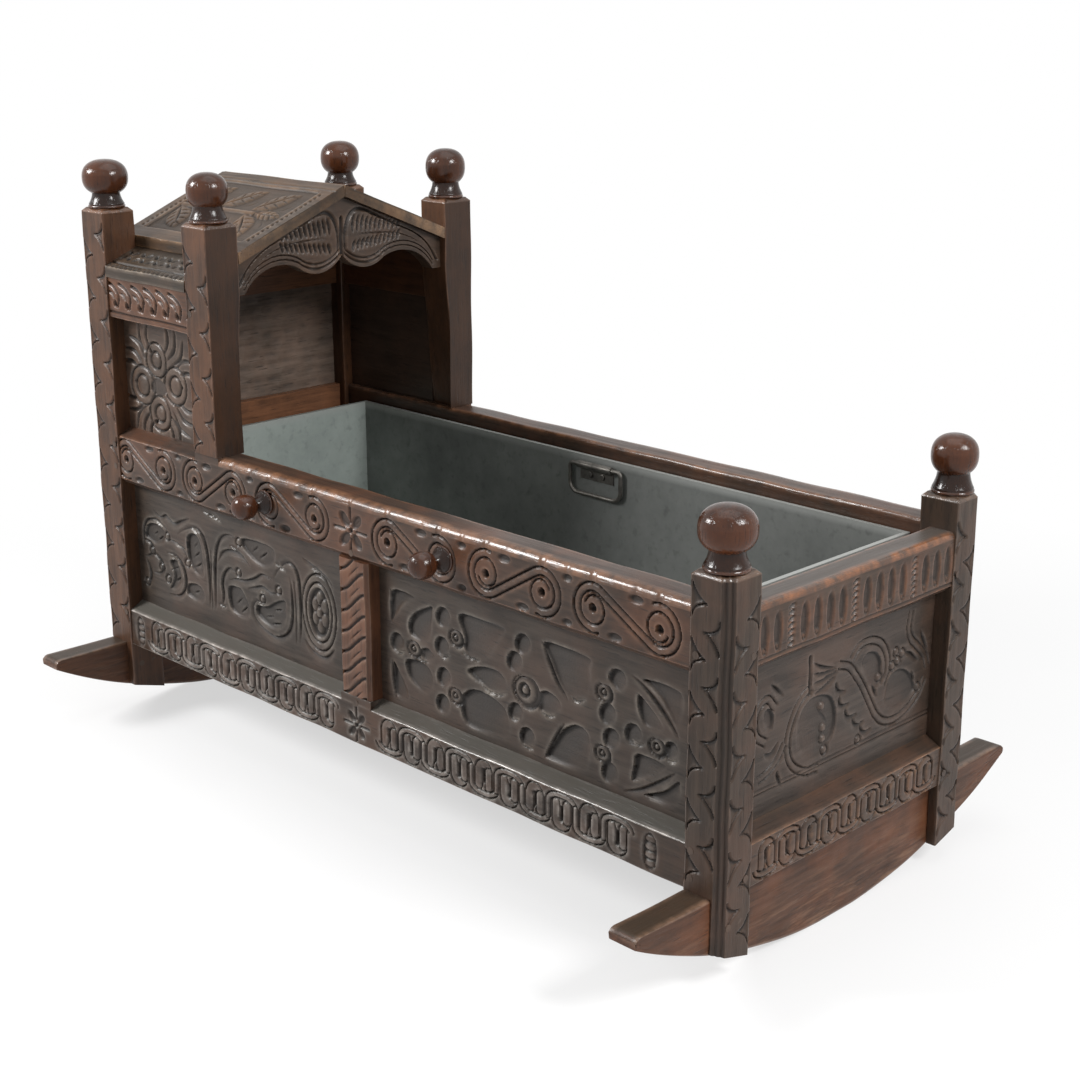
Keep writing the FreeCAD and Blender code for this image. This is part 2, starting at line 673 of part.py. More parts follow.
def under_roof(z0):
    """Outline between the posts, from z0 up to the underside of the roof boards."""
    return [(y_in, z0), (-y_in, z0), (-y_in, gable_tail_top), (0.0, ridge_under), (y_in, gable_tail_top)]


head_gable = prism_x(under_roof(hood_rail_bottom), x_head_rail, x_head_rail + end_rail_thickness)
head_gable = head_gable.fuse(both_ends(end_tenon(x_head_tenon, hood_rail_bottom, hood_rail_top)))
head_gable = head_gable.removeSplitter().cut(head_grooves)

save("foot_top_rail", foot_top_rail)
save("foot_bottom_rail", foot_bottom_rail)
save("foot_panel", foot_panel())
save("head_bottom_rail", head_bottom_rail)
save("head_mid_rail", head_mid_rail)
save("head_gable", head_gable)
save("head_panel_lower", head_panels()[0])
save("head_panel_upper", head_panels()[1])


# Front gable of the hood, with its lobed lower edge, and the roof boards

def gable():
    half = [(-y_in, 0.0), (-y_in - gable_tail_width, 0.0), (gable_arch_offset, gable_arch_rise),
            (gable_join_offset, gable_join_rise), (gable_lobe_offset, gable_lobe_rise),
            (0.0, gable_cusp_rise)]
    right = [at(gable_x0, y, gable_tail_bottom + rise) for y, rise in half]
    left = [at(gable_x0, -y, gable_tail_bottom + rise) for y, rise in half]
    top = [right[0], at(gable_x0, -y_in, gable_tail_top), at(gable_x0, 0.0, ridge_under),
           at(gable_x0, y_in, gable_tail_top), left[0]]
    edges = [Part.makeLine(p, q) for p, q in zip(top, top[1:])]
    edges.append(Part.makeLine(left[0], left[1]))
    edges.append(Part.Arc(left[1], left[2], left[3]).toShape())
    edges.append(Part.Arc(left[3], left[4], left[5]).toShape())
    edges.append(Part.Arc(right[5], right[4], right[3]).toShape())
    edges.append(Part.Arc(right[3], right[2], right[1]).toShape())
    edges.append(Part.makeLine(right[1], right[0]))
    board = Part.Face(Part.Wire(edges)).extrude(at(gable_thickness, 0, 0))
    return board.fuse(both_ends(gable_tenon())).removeSplitter()


def sloping_board(y0, y1, top_at_middle, x0, x1):
    """Board lying on the slope of the left side of the roof, between two places across."""
    z0 = top_at_middle + roof_slope * y0
    z1 = top_at_middle + roof_slope * y1
    return prism_x([(y0, z0), (y1, z1), (y1, z1 - roof_drop), (y0, z0 - roof_drop)], x0, x1)


def leaf(x, y, turn, length, width):
    """Upright prism over a pointed leaf that starts at a place and points along a direction."""
    direction = at(math.cos(turn), math.sin(turn), 0)
    aside = at(-math.sin(turn), math.cos(turn), 0) * (width / 2.0)
    root = at(x, y, 0)
    tip = root + direction * length
    middle = root + direction * (length / 2.0)
    edges = [Part.Arc(root, middle + aside, tip).toShape(), Part.Arc(tip, middle - aside, root).toShape()]
    return Part.Face(Part.Wire(edges)).extrude(at(0, 0, beyond))


roof_foot = y_in + fit_clearance
roof_back = x_head + roof_setback


def roof_field():
    """What is cut out of a left roof board: a field inside a border, round a stem with leaves."""
    x0 = roof_back + roof_border
    y0 = roof_foot + roof_border
    y1 = -roof_border
    y_stem = (y0 + y1) / 2.0
    raised = ridge_top + roof_drop - roof_ground * math.sqrt(1.0 + roof_slope ** 2)
    field = sloping_board(y0, y1, raised, x0, x_hood_front - roof_border)
    leaves = []
    for number in range(spray_pairs):
        x = x0 + spray_first + number * spray_pitch
        for sense in (-1, 1):
            leaves.append(leaf(x, y_stem + sense * spray_stem / 2.0, sense * math.radians(spray_turn),
                               leaf_length, leaf_width))
    x_end = x_hood_front - roof_border - spray_first - end_leaf_length
    leaves.append(leaf(x_end, y_stem, 0.0, end_leaf_length, end_leaf_width))
    stem = block(x0 - fit_clearance, x_end + end_leaf_width / 2.0, y_stem - spray_stem / 2.0,
                 y_stem + spray_stem / 2.0, 0.0, beyond)
    return field.cut(leaves + [stem])


roof_upper = sloping_board(roof_foot, 0.0, ridge_top, roof_back, x_hood_front).cut(roof_field())
roof_eave = sloping_board(y_out, y_in + eave_lap, ridge_under, x_head_in + fit_clearance,
                          x_hood_back - fit_clearance)
save("hood_gable", gable())
save_pair("roof_board", roof_upper)
save_pair("eave_board", roof_eave)


# Rockers

def rocker(x_range, x_peg_face):
    half = rocker_span / 2.0
    flat = rocker_flat / 2.0

    def rolling_edge(y):
        return rocker_radius - math.sqrt(rocker_radius ** 2 - y ** 2)

    worn = rolling_edge(flat)
    x0, x1 = x_range
    tip = rolling_edge(half) - worn
    middle = (half + flat) / 2.0
    rise = rolling_edge(middle) - worn
    edges = [Part.makeLine(at(x0, -half, rocker_depth), at(x0, half, rocker_depth)),
             Part.makeLine(at(x0, half, rocker_depth), at(x0, half, tip)),
             Part.Arc(at(x0, half, tip), at(x0, middle, rise), at(x0, flat, 0.0)).toShape(),
             Part.makeLine(at(x0, flat, 0.0), at(x0, -flat, 0.0)),
             Part.Arc(at(x0, -flat, 0.0), at(x0, -middle, rise), at(x0, -half, tip)).toShape(),
             Part.makeLine(at(x0, -half, tip), at(x0, -half, rocker_depth))]
    board = Part.Face(Part.Wire(edges)).extrude(at(x1 - x0, 0, 0))
    tips = [e for e in board.Edges if near_to(abs(e.CenterOfMass.y), half) and near_to(e.Length, x1 - x0)]
    board = board.makeFillet(rocker_tip_round, tips)
    return board.cut(on_both_sides(rocker_pegs(x_peg_face, round_clearance)))


save("rocker_foot", rocker(rocker_x_foot, x_foot))
save("rocker_head", rocker(rocker_x_head, x_head_in))


# Floor of the cradle

save_pair("floor_cleat", block(x_head_in, x_foot_in, y_rail_in, y_rail_in + cleat_size, cleat_bottom,
                               floor_bottom))
board_pitch = (x_foot_in - x_head_in) / floor_board_count
boards = []
for number in range(floor_board_count):
    x0 = x_head_in + number * board_pitch + floor_gap / 2.0
    x1 = x0 + board_pitch - floor_gap
    boards.append(block(x0, x1, y_rail_in + floor_gap, -y_rail_in - floor_gap, floor_bottom, floor_top))
save("floor_boards", Part.makeCompound(boards))


# Turned finials and lacing knobs

finial_seats = {
    "head": ((x_head + x_head_in) / 2.0, hood_post_top),
    "hood": (hood_tenon_x, hood_post_top),
    "foot": ((x_foot_in + x_foot) / 2.0, foot_post_top),
}
for name, (ball_width, ball_height, cove) in finials.items():
    post_name, side = name.split("_")
    x, z = finial_seats[post_name]
    y = (y_out + y_in) / 2.0 * (1 if side == "left" else -1)
    piece = turned(finial_base, finial_lip, finial_neck, cove, ball_width, ball_height, spigot_diameter,
                   spigot_length)
    piece.translate(at(x, y, z))
    save("finial_" + name, piece)

for name, x in zip(("head", "foot"), knob_x):
    knob = turned(knob_base, knob_lip, knob_neck, knob_cove, knob_ball, knob_ball, knob_spigot_diameter,
                  knob_spigot_length)
    knob.rotate(at(0, 0, 0), at(1, 0, 0), 90.0)
    knob.translate(at(x, y_rail, knob_z))
    save_pair("knob_" + name, knob)


# Oak pegs through the tenons and the rockers

left_pegs = side_pegs() + muntin_pegs() + foot_pegs() + head_pegs()
left_pegs += rocker_pegs(x_foot) + rocker_pegs(x_head_in)
save("oak_pegs", Part.makeCompound(on_both_sides(left_pegs)))


# Zinc liner: floor and four walls of sheet, each wall with a folded rim

liner_in = liner_side + sheet
bail_x = (liner_head + liner_foot) / 2.0
bail_z = liner_rim_top - bail_top_gap
knuckle = bail_wire / 2.0 + round_clearance + clip_sheet
bail_y = liner_in + knuckle
rivet_z = bail_z - rivet_drop
rivet_x = [bail_x - rivet_spacing / 2.0, bail_x + rivet_spacing / 2.0]


def rivet_holes():
    return [rod(at(x, liner_side - past, rivet_z), at(0, 1, 0), rivet_shank + 2.0 * round_clearance,
                clip_sheet + sheet + 2.0 * past) for x in rivet_x]


def liner_long_wall():
    wall = block(liner_head, liner_foot, liner_side, liner_in, floor_top, liner_rim_top)
    fold = block(liner_head, liner_foot, liner_side - rim_fold, liner_side, liner_rim_top - rim_fold_height,
                 liner_rim_top)
    return wall.fuse(fold).removeSplitter().cut(rivet_holes())


def liner_end_wall(x_outer, sense):
    x_inner = x_outer - sense * sheet
    x_fold = x_outer + sense * rim_fold
    wall = block(min(x_outer, x_inner), max(x_outer, x_inner), liner_in, -liner_in, floor_top, liner_rim_top)
    fold = block(min(x_outer, x_fold), max(x_outer, x_fold), liner_side - rim_fold, rim_fold - liner_side,
                 liner_rim_top - rim_fold_height, liner_rim_top)
    return wall.fuse(fold).removeSplitter()


save_pair("liner_wall", liner_long_wall())
save("liner_wall_head", liner_end_wall(liner_head, -1))
save("liner_wall_foot", liner_end_wall(liner_foot, 1))
save("liner_floor", block(liner_head + sheet, liner_foot - sheet, liner_in, -liner_in, floor_top,
                          floor_top + sheet))


# Drop handles: a wire bail turning in a clip that is riveted to the wall

def clip():
    plate = block(bail_x - clip_width / 2.0, bail_x + clip_width / 2.0, liner_in, liner_in + clip_sheet,
                  bail_z - clip_drop, bail_z)
    start = at(bail_x - clip_width / 2.0, bail_y, bail_z)
    roll = rod(start, at(1, 0, 0), 2.0 * knuckle, clip_width)
    bore = rod(start, at(1, 0, 0), bail_wire + 2.0 * round_clearance, clip_width)
    return plate.fuse(roll).removeSplitter().cut([bore] + rivet_holes())


def bail():
    half = (bail_width - bail_wire) / 2.0
    low = bail_z - bail_drop + bail_wire / 2.0
    turn = math.sqrt(0.5)

    def place(x, z):
        return at(bail_x + x, bail_y, z)

    top_turn = place(half - bail_bend_top * (1.0 - turn), bail_z - bail_bend_top * (1.0 - turn))
    low_turn = place(half - bail_bend * (1.0 - turn), low + bail_bend * (1.0 - turn))
    points = [place(0.0, bail_z), place(half - bail_bend_top, bail_z), place(half, bail_z - bail_bend_top),
              place(half, low + bail_bend), place(half - bail_bend, low), place(0.0, low)]
    path = Part.Wire([Part.makeLine(points[0], points[1]), Part.Arc(points[1], top_turn, points[2]).toShape(),
                      Part.makeLine(points[2], points[3]), Part.Arc(points[3], low_turn, points[4]).toShape(),
                      Part.makeLine(points[4], points[5])])
    section = Part.Face(Part.Wire([Part.makeCircle(bail_wire / 2.0, points[0], at(1, 0, 0))]))
    side = path.makePipe(section)
    other = side.mirror(points[0], at(1, 0, 0))
    return side.fuse(other).removeSplitter()


def rivet(x):
    head = rod(at(x, liner_in + clip_sheet, rivet_z), at(0, 1, 0), rivet_head, rivet_head_height)
    crown = [e for e in head.Edges if near_to(e.CenterOfMass.y, liner_in + clip_sheet + rivet_head_height)]
    head = head.makeFillet(rivet_crown, crown)
    shank = rod(at(x, liner_side, rivet_z), at(0, 1, 0), rivet_shank, sheet + clip_sheet)
    tail = rod(at(x, liner_side, rivet_z), at(0, -1, 0), rivet_head, rivet_head_height / 2.0)
    return head.fuse([shank, tail]).removeSplitter()


save_pair("handle_clip", clip())
save_pair("handle_bail", bail())
save("handle_rivets", Part.makeCompound(on_both_sides([rivet(x) for x in rivet_x])))
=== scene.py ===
import math

import bpy
import numpy as np
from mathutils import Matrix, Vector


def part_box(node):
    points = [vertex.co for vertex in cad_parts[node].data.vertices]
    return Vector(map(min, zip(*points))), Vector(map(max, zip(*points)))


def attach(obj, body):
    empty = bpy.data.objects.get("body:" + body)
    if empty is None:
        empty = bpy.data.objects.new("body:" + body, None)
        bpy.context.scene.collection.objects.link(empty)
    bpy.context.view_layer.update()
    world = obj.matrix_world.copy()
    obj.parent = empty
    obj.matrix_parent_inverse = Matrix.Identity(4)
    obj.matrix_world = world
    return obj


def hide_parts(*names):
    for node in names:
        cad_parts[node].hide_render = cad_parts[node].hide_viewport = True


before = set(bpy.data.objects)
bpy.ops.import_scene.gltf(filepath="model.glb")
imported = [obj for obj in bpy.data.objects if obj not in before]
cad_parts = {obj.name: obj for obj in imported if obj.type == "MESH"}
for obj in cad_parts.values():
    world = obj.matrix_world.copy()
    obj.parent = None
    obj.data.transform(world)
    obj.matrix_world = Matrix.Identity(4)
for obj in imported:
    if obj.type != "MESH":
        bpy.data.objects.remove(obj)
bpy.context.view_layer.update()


# Corner posts
# Six square posts of oak, two tall at the head, two standing on the side rails under the hood and two short
# at the foot. Sawn and planed, mortised for the rails, their outer faces notched into a chain with a gouge.

hands = (("left", -1.0), ("right", 1.0))
tiny = 1e-12
carving_step = 0.0012  # cell of a carved face
stroke_step = 0.002  # step along a carved line
arc_least_steps = 6
crisp_edge = 0.0005  # radii of the edges of a piece
worked_edge = 0.0008
soft_edge = 0.001
edge_round = 0.0015
least_round = 1e-4
round_steps = 4
flat_margin = 0.003  # strip along an edge of a plain face, and the most it takes of the face
flat_margin_share = 0.3
steep_wall = 0.0014  # width of the sides of sunk ground and of a hollow
hollow_wall = 0.0022
taper_power = 0.6  # how late a tapered cut runs out
strap_crown = 0.15  # fall of a band's top towards its edges, as a share of its depth
strap_overlap = 0.4  # share of a stroke by which a band runs on into the next stroke
lap_power = 1.4  # hollowness of a lapped edge, and how strong the painted shadow is in it
lap_shadow = 1.5
steep_side = 0.0008  # width of the steep side of a lapped edge
steep_facing = 0.3  # a wall that faces the lean less than this is cut softer
soft_far_side = 3.0
far_depth = 0.35  # share of the depth left at the soft side of sunk ground
shadow_reach = 0.004  # how far painted shadow spreads from a wall, and how strong it is there
shadow_gain = 1.3
shadow_fill = 1.6
edge_darkening = 0.6  # share of a face's painted shadow and darkening on the edge beside it
edge_wear = 0.65  # wear along the raised edges of carving
wear_start = 0.15  # where the wear of a rounded edge begins, as a share of half a turn
run_out = 0.0009  # depth of a cut that runs out over an edge
seen_relief = 0.0015  # relief that counts as quite hollow or quite raised
relief_reach = 0.0026  # distance over which relief is judged
full_ground = 0.003  # depth that counts as ground
hand_waver = 0.0003  # unevenness of hand work and its two waves, in radians per metre
waver_across = (61.0, 37.0)
waver_up = (47.0, 53.0)
crease_angle = 55.0  # degrees between faces that shade apart


def eased(share):
    share = np.clip(share, 0.0, 1.0)
    return share * share * (3.0 - 2.0 * share)


def spaced(low, high, step=carving_step):
    """Evenly spaced places from low to high."""
    return np.linspace(low, high, max(2, int(round((high - low) / step)) + 1))


def turned_to(degrees):
    """The direction at an angle, as a point one away from the middle."""
    return np.array([math.cos(math.radians(degrees)), math.sin(math.radians(degrees))])


def flowing(points, closed=False):
    """A smooth line through a few points, or a smooth loop."""
    points = np.asarray(points, float)
    if closed:
        padded = np.vstack([points[-1], points, points[0], points[1]])
    else:
        padded = np.vstack([2 * points[0] - points[1], points, 2 * points[-1] - points[-2]])
    line = []
    for a, b, c, d in zip(padded, padded[1:], padded[2:], padded[3:]):
        count = max(2, int(math.dist(b, c) / stroke_step))
        for t in np.arange(count) / count:
            line.append(0.5 * (2 * b + (c - a) * t + (2 * a - 5 * b + 4 * c - d) * t ** 2
                               + (3 * b - a - 3 * c + d) * t ** 3))
    line.append(padded[-2])
    return np.array(line)


def arc(centre, radius, start=0.0, end=360.0, flatten=1.0):
    """Part of a ring about a centre, from one angle in degrees to another."""
    count = max(arc_least_steps, int(radius * abs(math.radians(end - start)) / stroke_step))
    angles = np.radians(np.linspace(start, end, count + 1))
    return np.stack([centre[0] + radius * np.cos(angles), centre[1] + flatten * radius * np.sin(angles)], 1)


class Face:
    """A flat face of oak to be carved: u runs along the piece, v across the face, height is above the face.
    One mask holds painted shadow beside cuts and some darker faces; another holds painted highlights
    (glints)."""

    def __init__(self, u, v, wear=edge_wear):
        self.u = u
        self.v = v
        self.wear = wear
        self.height = np.zeros((len(u), len(v)))
        self.shadow_and_darkening = np.zeros((len(u), len(v)))
        self.rubbed_and_glint = np.zeros((len(u), len(v)))

    def part(self, first, last):
        """The stretch of the face between two numbered places along it."""
        piece = Face(self.u[first:last + 1], self.v, self.wear)
        piece.height = self.height[first:last + 1]
        piece.shadow_and_darkening = self.shadow_and_darkening[first:last + 1]
        piece.rubbed_and_glint = self.rubbed_and_glint[first:last + 1]
        return piece

    def about(self, low, high):
        """The cells of a rectangle."""
        rows = slice(*np.searchsorted(self.u, (low[0], high[0])))
        columns = slice(*np.searchsorted(self.v, (low[1], high[1])))
        return rows, columns

    def beside(self, start, end, reach):
        """Cells near one short stroke, how far along it they lie and how far off it."""
        cells = self.about(np.minimum(start, end) - reach, np.maximum(start, end) + reach)
        du = self.u[cells[0], None] - start[0]
        dv = self.v[None, cells[1]] - start[1]
        run = end - start
        along = (du * run[0] + dv * run[1]) / max(run @ run, tiny)
        nearest = np.clip(along, 0.0, 1.0)
        return cells, along, np.hypot(du - nearest * run[0], dv - nearest * run[1])

    def near(self, path, room=0.0):
        """Cells about a line and, for each, the way to the nearest place on the line, which stroke that place
        is on and how far along the stroke."""
        cells = self.about(path.min(0) - room, path.max(0) + room)
        u, v = np.meshgrid(self.u[cells[0]], self.v[cells[1]], indexing="ij")
        away = np.full(u.shape, np.inf)
        toward = np.zeros((2, *u.shape))
        stroke = np.zeros(u.shape, int)
        share = np.zeros(u.shape)
        for number, (start, run) in enumerate(zip(path, np.diff(path, axis=0))):
            along = ((u - start[0]) * run[0] + (v - start[1]) * run[1]) / max(run @ run, tiny)
            along = np.clip(along, 0.0, 1.0)
            way = np.stack([start[0] + along * run[0] - u, start[1] + along * run[1] - v])
            distance = np.hypot(*way)
            nearer = distance < away
            away = np.where(nearer, distance, away)
            toward = np.where(nearer, way, toward)
            stroke = np.where(nearer, number, stroke)
            share = np.where(nearer, along, share)
        return cells, toward, stroke, share

    def gouge(self, path, width, depth, tapered=False):
        """A round-bottomed groove; a tapered one runs out to nothing at both ends."""
        path = np.asarray(path, float)
        steps = len(path) - 1
        for step in range(steps):
            size = math.sin(math.pi * (step + 0.5) / steps) ** taper_power if tapered else 1.0
            half = width * size / 2.0
            cells, _, away = self.beside(path[step], path[step + 1], half)
            cut = depth * size * np.clip(1.0 - (away / half) ** 2, 0.0, None)
            self.height[cells] = np.minimum(self.height[cells], -cut)

    def strap(self, path, width, groove, depth):
        """A band left standing between two grooves, passing over whatever it crosses."""
        path = np.asarray(path, float)
        half = width / 2.0
        for start, end in zip(path, path[1:]):
            cells, along, away = self.beside(start, end, half + groove)
            beside = (along > -strap_overlap) & (along < 1.0 + strap_overlap)
            into = np.clip((away - half) / groove, 0.0, 1.0)
            cut = depth * 4.0 * into * (1.0 - into)
            crown = -strap_crown * depth * np.clip(away / half, 0.0, 1.0) ** 2
            now = self.height[cells]
            now = np.where(beside & (away < half), crown, now)
            self.height[cells] = np.where(beside & (away >= half), np.minimum(now, -cut), now)

    def oval(self, centre, radii, tilt=0.0):
        """Cells of an oval and how far out each lies, 0 in the middle and 1 on its edge."""
        reach = max(radii)
        centre = np.asarray(centre, float)
        cells = self.about(centre - reach, centre + reach)
        du = self.u[cells[0], None] - centre[0]
        dv = self.v[None, cells[1]] - centre[1]
        c, s = turned_to(tilt)
        return cells, np.hypot((du * c + dv * s) / radii[0], (dv * c - du * s) / radii[1])

    def hollow(self, centre, radii, depth, tilt=0.0, wall=hollow_wall):
        """A dished oval with steep sides and an even floor."""
        cells, out = self.oval(centre, radii, tilt)
        cut = depth * eased((1.0 - out) * min(radii) / wall)
        self.height[cells] = np.minimum(self.height[cells], -cut)

    def swell(self, centre, radii, base, rise):
        """A rounded boss rising from a level."""
        cells, out = self.oval(centre, radii)
        dome = base + rise * np.sqrt(np.clip(1.0 - out ** 2, 0.0, None))
        self.height[cells] = np.where(out < 1.0, dome, self.height[cells])

    def within(self, outline):
        """Cells about a closed line, which of them lie inside, and the way from each to the line."""
        path = np.vstack([outline, outline[:1]])
        cells, toward, _, _ = self.near(path)
        u, v = np.meshgrid(self.u[cells[0]], self.v[cells[1]], indexing="ij")
        inside = np.zeros(u.shape, bool)
        for start, run in zip(path, np.diff(path, axis=0)):
            crosses = (start[1] > v) != (start[1] + run[1] > v)
            rise = run[1] if abs(run[1]) > tiny else tiny
            inside ^= crosses & (u < start[0] + (v - start[1]) / rise * run[0])
        return cells, inside, toward

    def sink(self, outline, depth, wall=steep_wall, lean=None, far=far_depth, shadow_width=shadow_reach):
        """Ground cut away inside a closed line, with steep sides. A lean points at the side that is cut
        deepest and is painted with shadow; from there the floor rises to a soft far side, where a share of
        the depth is left."""
        cells, inside, toward = self.within(outline)
        away = np.hypot(*toward)
        floor = depth
        if lean is not None:
            reach = outline @ lean
            place = self.u[cells[0], None] * lean[0] + self.v[None, cells[1]] * lean[1]
            floor = depth * (far + (1.0 - far) * (place - reach.min()) / (reach.max() - reach.min()))
            facing = (toward[0] * lean[0] + toward[1] * lean[1]) / np.maximum(away, tiny)
            wall = wall * (1.0 + soft_far_side * np.maximum(steep_facing - facing, 0.0))
            # painted shadow, strongest along the walls that face the lean
            shadow_and_darkening = np.clip(shadow_fill * (1.0 - away / shadow_width), 0.0, 1.0)
            shadow_and_darkening = shadow_and_darkening * np.clip(shadow_gain * facing, 0.0, 1.0)
            self.shadow_and_darkening[cells] = np.maximum(self.shadow_and_darkening[cells], np.where(inside, shadow_and_darkening, 0.0))
        cut = np.where(inside, floor * eased(away / wall), 0.0)
        self.height[cells] = np.minimum(self.height[cells], -cut)

    def stand(self, outline, base, rise, wall):
        """A form left standing inside a closed line, rising from a level with rounded sides."""
        cells, inside, toward = self.within(outline)
        slope = 1.0 - np.minimum(np.hypot(*toward) / wall, 1.0)
        form = base + rise * np.sqrt(np.clip(1.0 - slope ** 2, 0.0, 1.0))
        self.height[cells] = np.where(inside, np.maximum(self.height[cells], form), self.height[cells])

    def lap(self, path, width, depth, lean, bright=False):
        """A cut that is steep towards the lean and rises softly on the other side, like the edge of a leaf
        lying over another; it runs out to nothing at both ends. It is painted with shadow, and a bright one
        with a highlight (a glint)."""
        cells, toward, stroke, share = self.near(path, width)
        away = np.hypot(*toward)
        runs = np.diff(path, axis=0)
        beside = toward[1] * runs[stroke, 0] - toward[0] * runs[stroke, 1]
        chord = path[-1] - path[0]
        turned = 1.0 if chord[1] * lean[0] - chord[0] * lean[1] < 0.0 else -1.0
        soft_side = beside * turned > 0.0
        size = np.sqrt(np.sin(math.pi * (stroke + share) / len(runs)).clip(tiny))
        slope = away / np.where(soft_side, width * size, steep_side)
        cut = depth * size * np.clip(1.0 - slope, 0.0, 1.0) ** lap_power
        self.height[cells] = np.minimum(self.height[cells], -cut)
        # painted shadow beside the lap, and a painted highlight beside a bright one
        spread = away / (size * np.where(soft_side, shadow_reach, steep_side))
        marks = self.rubbed_and_glint if bright else self.shadow_and_darkening
        marks[cells] = np.maximum(marks[cells], size * np.clip(lap_shadow * (1.0 - spread), 0.0, 1.0))

    def relief(self):
        """How far each point lies below what is round it."""
        soft = self.height
        half = max(1, int(relief_reach / carving_step))
        size = 2 * half + 1
        for axis in (0, 1, 0, 1):
            edges = [(half + 1, half) if axis == k else (0, 0) for k in (0, 1)]
            total = np.cumsum(np.pad(soft, edges, mode="edge"), axis=axis)
            soft = (np.take(total, np.arange(size, total.shape[axis]), axis)
                    - np.take(total, np.arange(0, total.shape[axis] - size), axis)) / size
        return soft - self.height


def section_of(corners, faces):
    """Points round a bar's section, their outward directions, how worn each is, each face's columns, and the
    corner points beside each face. Corners go round anticlockwise as (across, up, radius, wear); faces maps
    an edge's number to its face."""
    flat = np.array([corner[:2] for corner in corners], float)
    count = len(flat)
    sides = np.roll(flat, -1, axis=0) - flat
    ways = sides / np.linalg.norm(sides, axis=1)[:, None]
    normals = np.stack([ways[:, 1], -ways[:, 0]], 1)
    points, outward, worn, columns, follows = [], [], [], {}, {}
    joins = []
    for k in range(count):
        turn = math.acos(np.clip(-ways[k - 1] @ ways[k], -1.0, 1.0))
        setback = max(corners[k][2], least_round) / math.tan(turn / 2.0)
        joins.append((flat[k] - ways[k - 1] * setback, flat[k] + ways[k] * setback))
    for k in range(count):
        arrive, leave = joins[k]
        for t in np.linspace(0.0, 1.0, round_steps + 1):
            beside = (k if t > 0.5 else k - 1) % count
            follows.setdefault(beside, []).append((len(points), t > 0.5))
            points.append((1 - t) ** 2 * arrive + 2 * t * (1 - t) * flat[k] + t ** 2 * leave)
            outward.append(normals[beside])
            worn.append(corners[k][3] * math.sin(math.pi * (wear_start + (1.0 - 2.0 * wear_start) * t)))
        run = joins[(k + 1) % count][0] - leave
        if k in faces:
            axis = int(abs(run[1]) > abs(run[0]))
            upward = run[axis] > 0.0
            places = faces[k].v if upward else faces[k].v[::-1]
            columns[k] = (len(points), upward)
            shares = (places - leave[axis]) / run[axis]
        else:
            margin = min(flat_margin / np.linalg.norm(run), flat_margin_share)
            shares = np.array([margin, 1.0 - margin])
        for share in shares:
            points.append(leave + share * run)
            outward.append(normals[k])
            worn.append(0.0)
    return np.array(points), np.array(outward), np.array(worn), columns, follows


def bar(stations, corners, faces, place):
    """A length of oak with one section, carved on some of its faces: its rings of points, and how hollow
    (with the painted shadow and darkening), how worn (with the painted glints) and how deep in cut ground
    each point is. place turns (along, across, up) into x, y, z."""
    points, outward, worn, columns, follows = section_of(corners, faces)
    shape = (len(stations), len(points))
    lift, hollow, ground = np.zeros((3, *shape))
    worn = np.repeat(worn[None], len(stations), 0)
    for edge, (first, upward) in columns.items():
        face = faces[edge]
        span = slice(first, first + len(face.v))
        fields = (face.height, face.shadow_and_darkening, face.rubbed_and_glint, face.relief())
        height, shadow_and_darkening, rubbed_and_glint, cut = (field if upward else field[:, ::-1] for field in fields)
        lift[:, span] = height
        # the hollow takes the painted shadow and darkening, and the worn takes the painted glints as well as
        # edge wear
        hollow[:, span] = np.maximum(np.clip(cut / seen_relief, 0.0, 1.0), shadow_and_darkening)
        ground[:, span] = np.clip(-height / full_ground, 0.0, 1.0)
        worn[:, span] = np.maximum(face.wear * np.clip(-cut / seen_relief, 0.0, 1.0), rubbed_and_glint)
        for number, at_start in follows[edge]:
            side = 0 if at_start else -1
            lift[:, number] = np.maximum(height[:, side], -run_out)
            hollow[:, number] = edge_darkening * shadow_and_darkening[:, side]
    across = points[None, :, 0] + outward[None, :, 0] * lift
    up = points[None, :, 1] + outward[None, :, 1] * lift
    along = np.broadcast_to(stations[:, None], shape)
    across = across + hand_waver * np.sin(along * waver_across[0] + up * waver_across[1])
    up = up + hand_waver * np.sin(along * waver_up[0] + across * waver_up[1] + 1.0)
    rings = np.stack(np.broadcast_arrays(*place(along, across, up)), -1)
    return rings, hollow, worn, ground


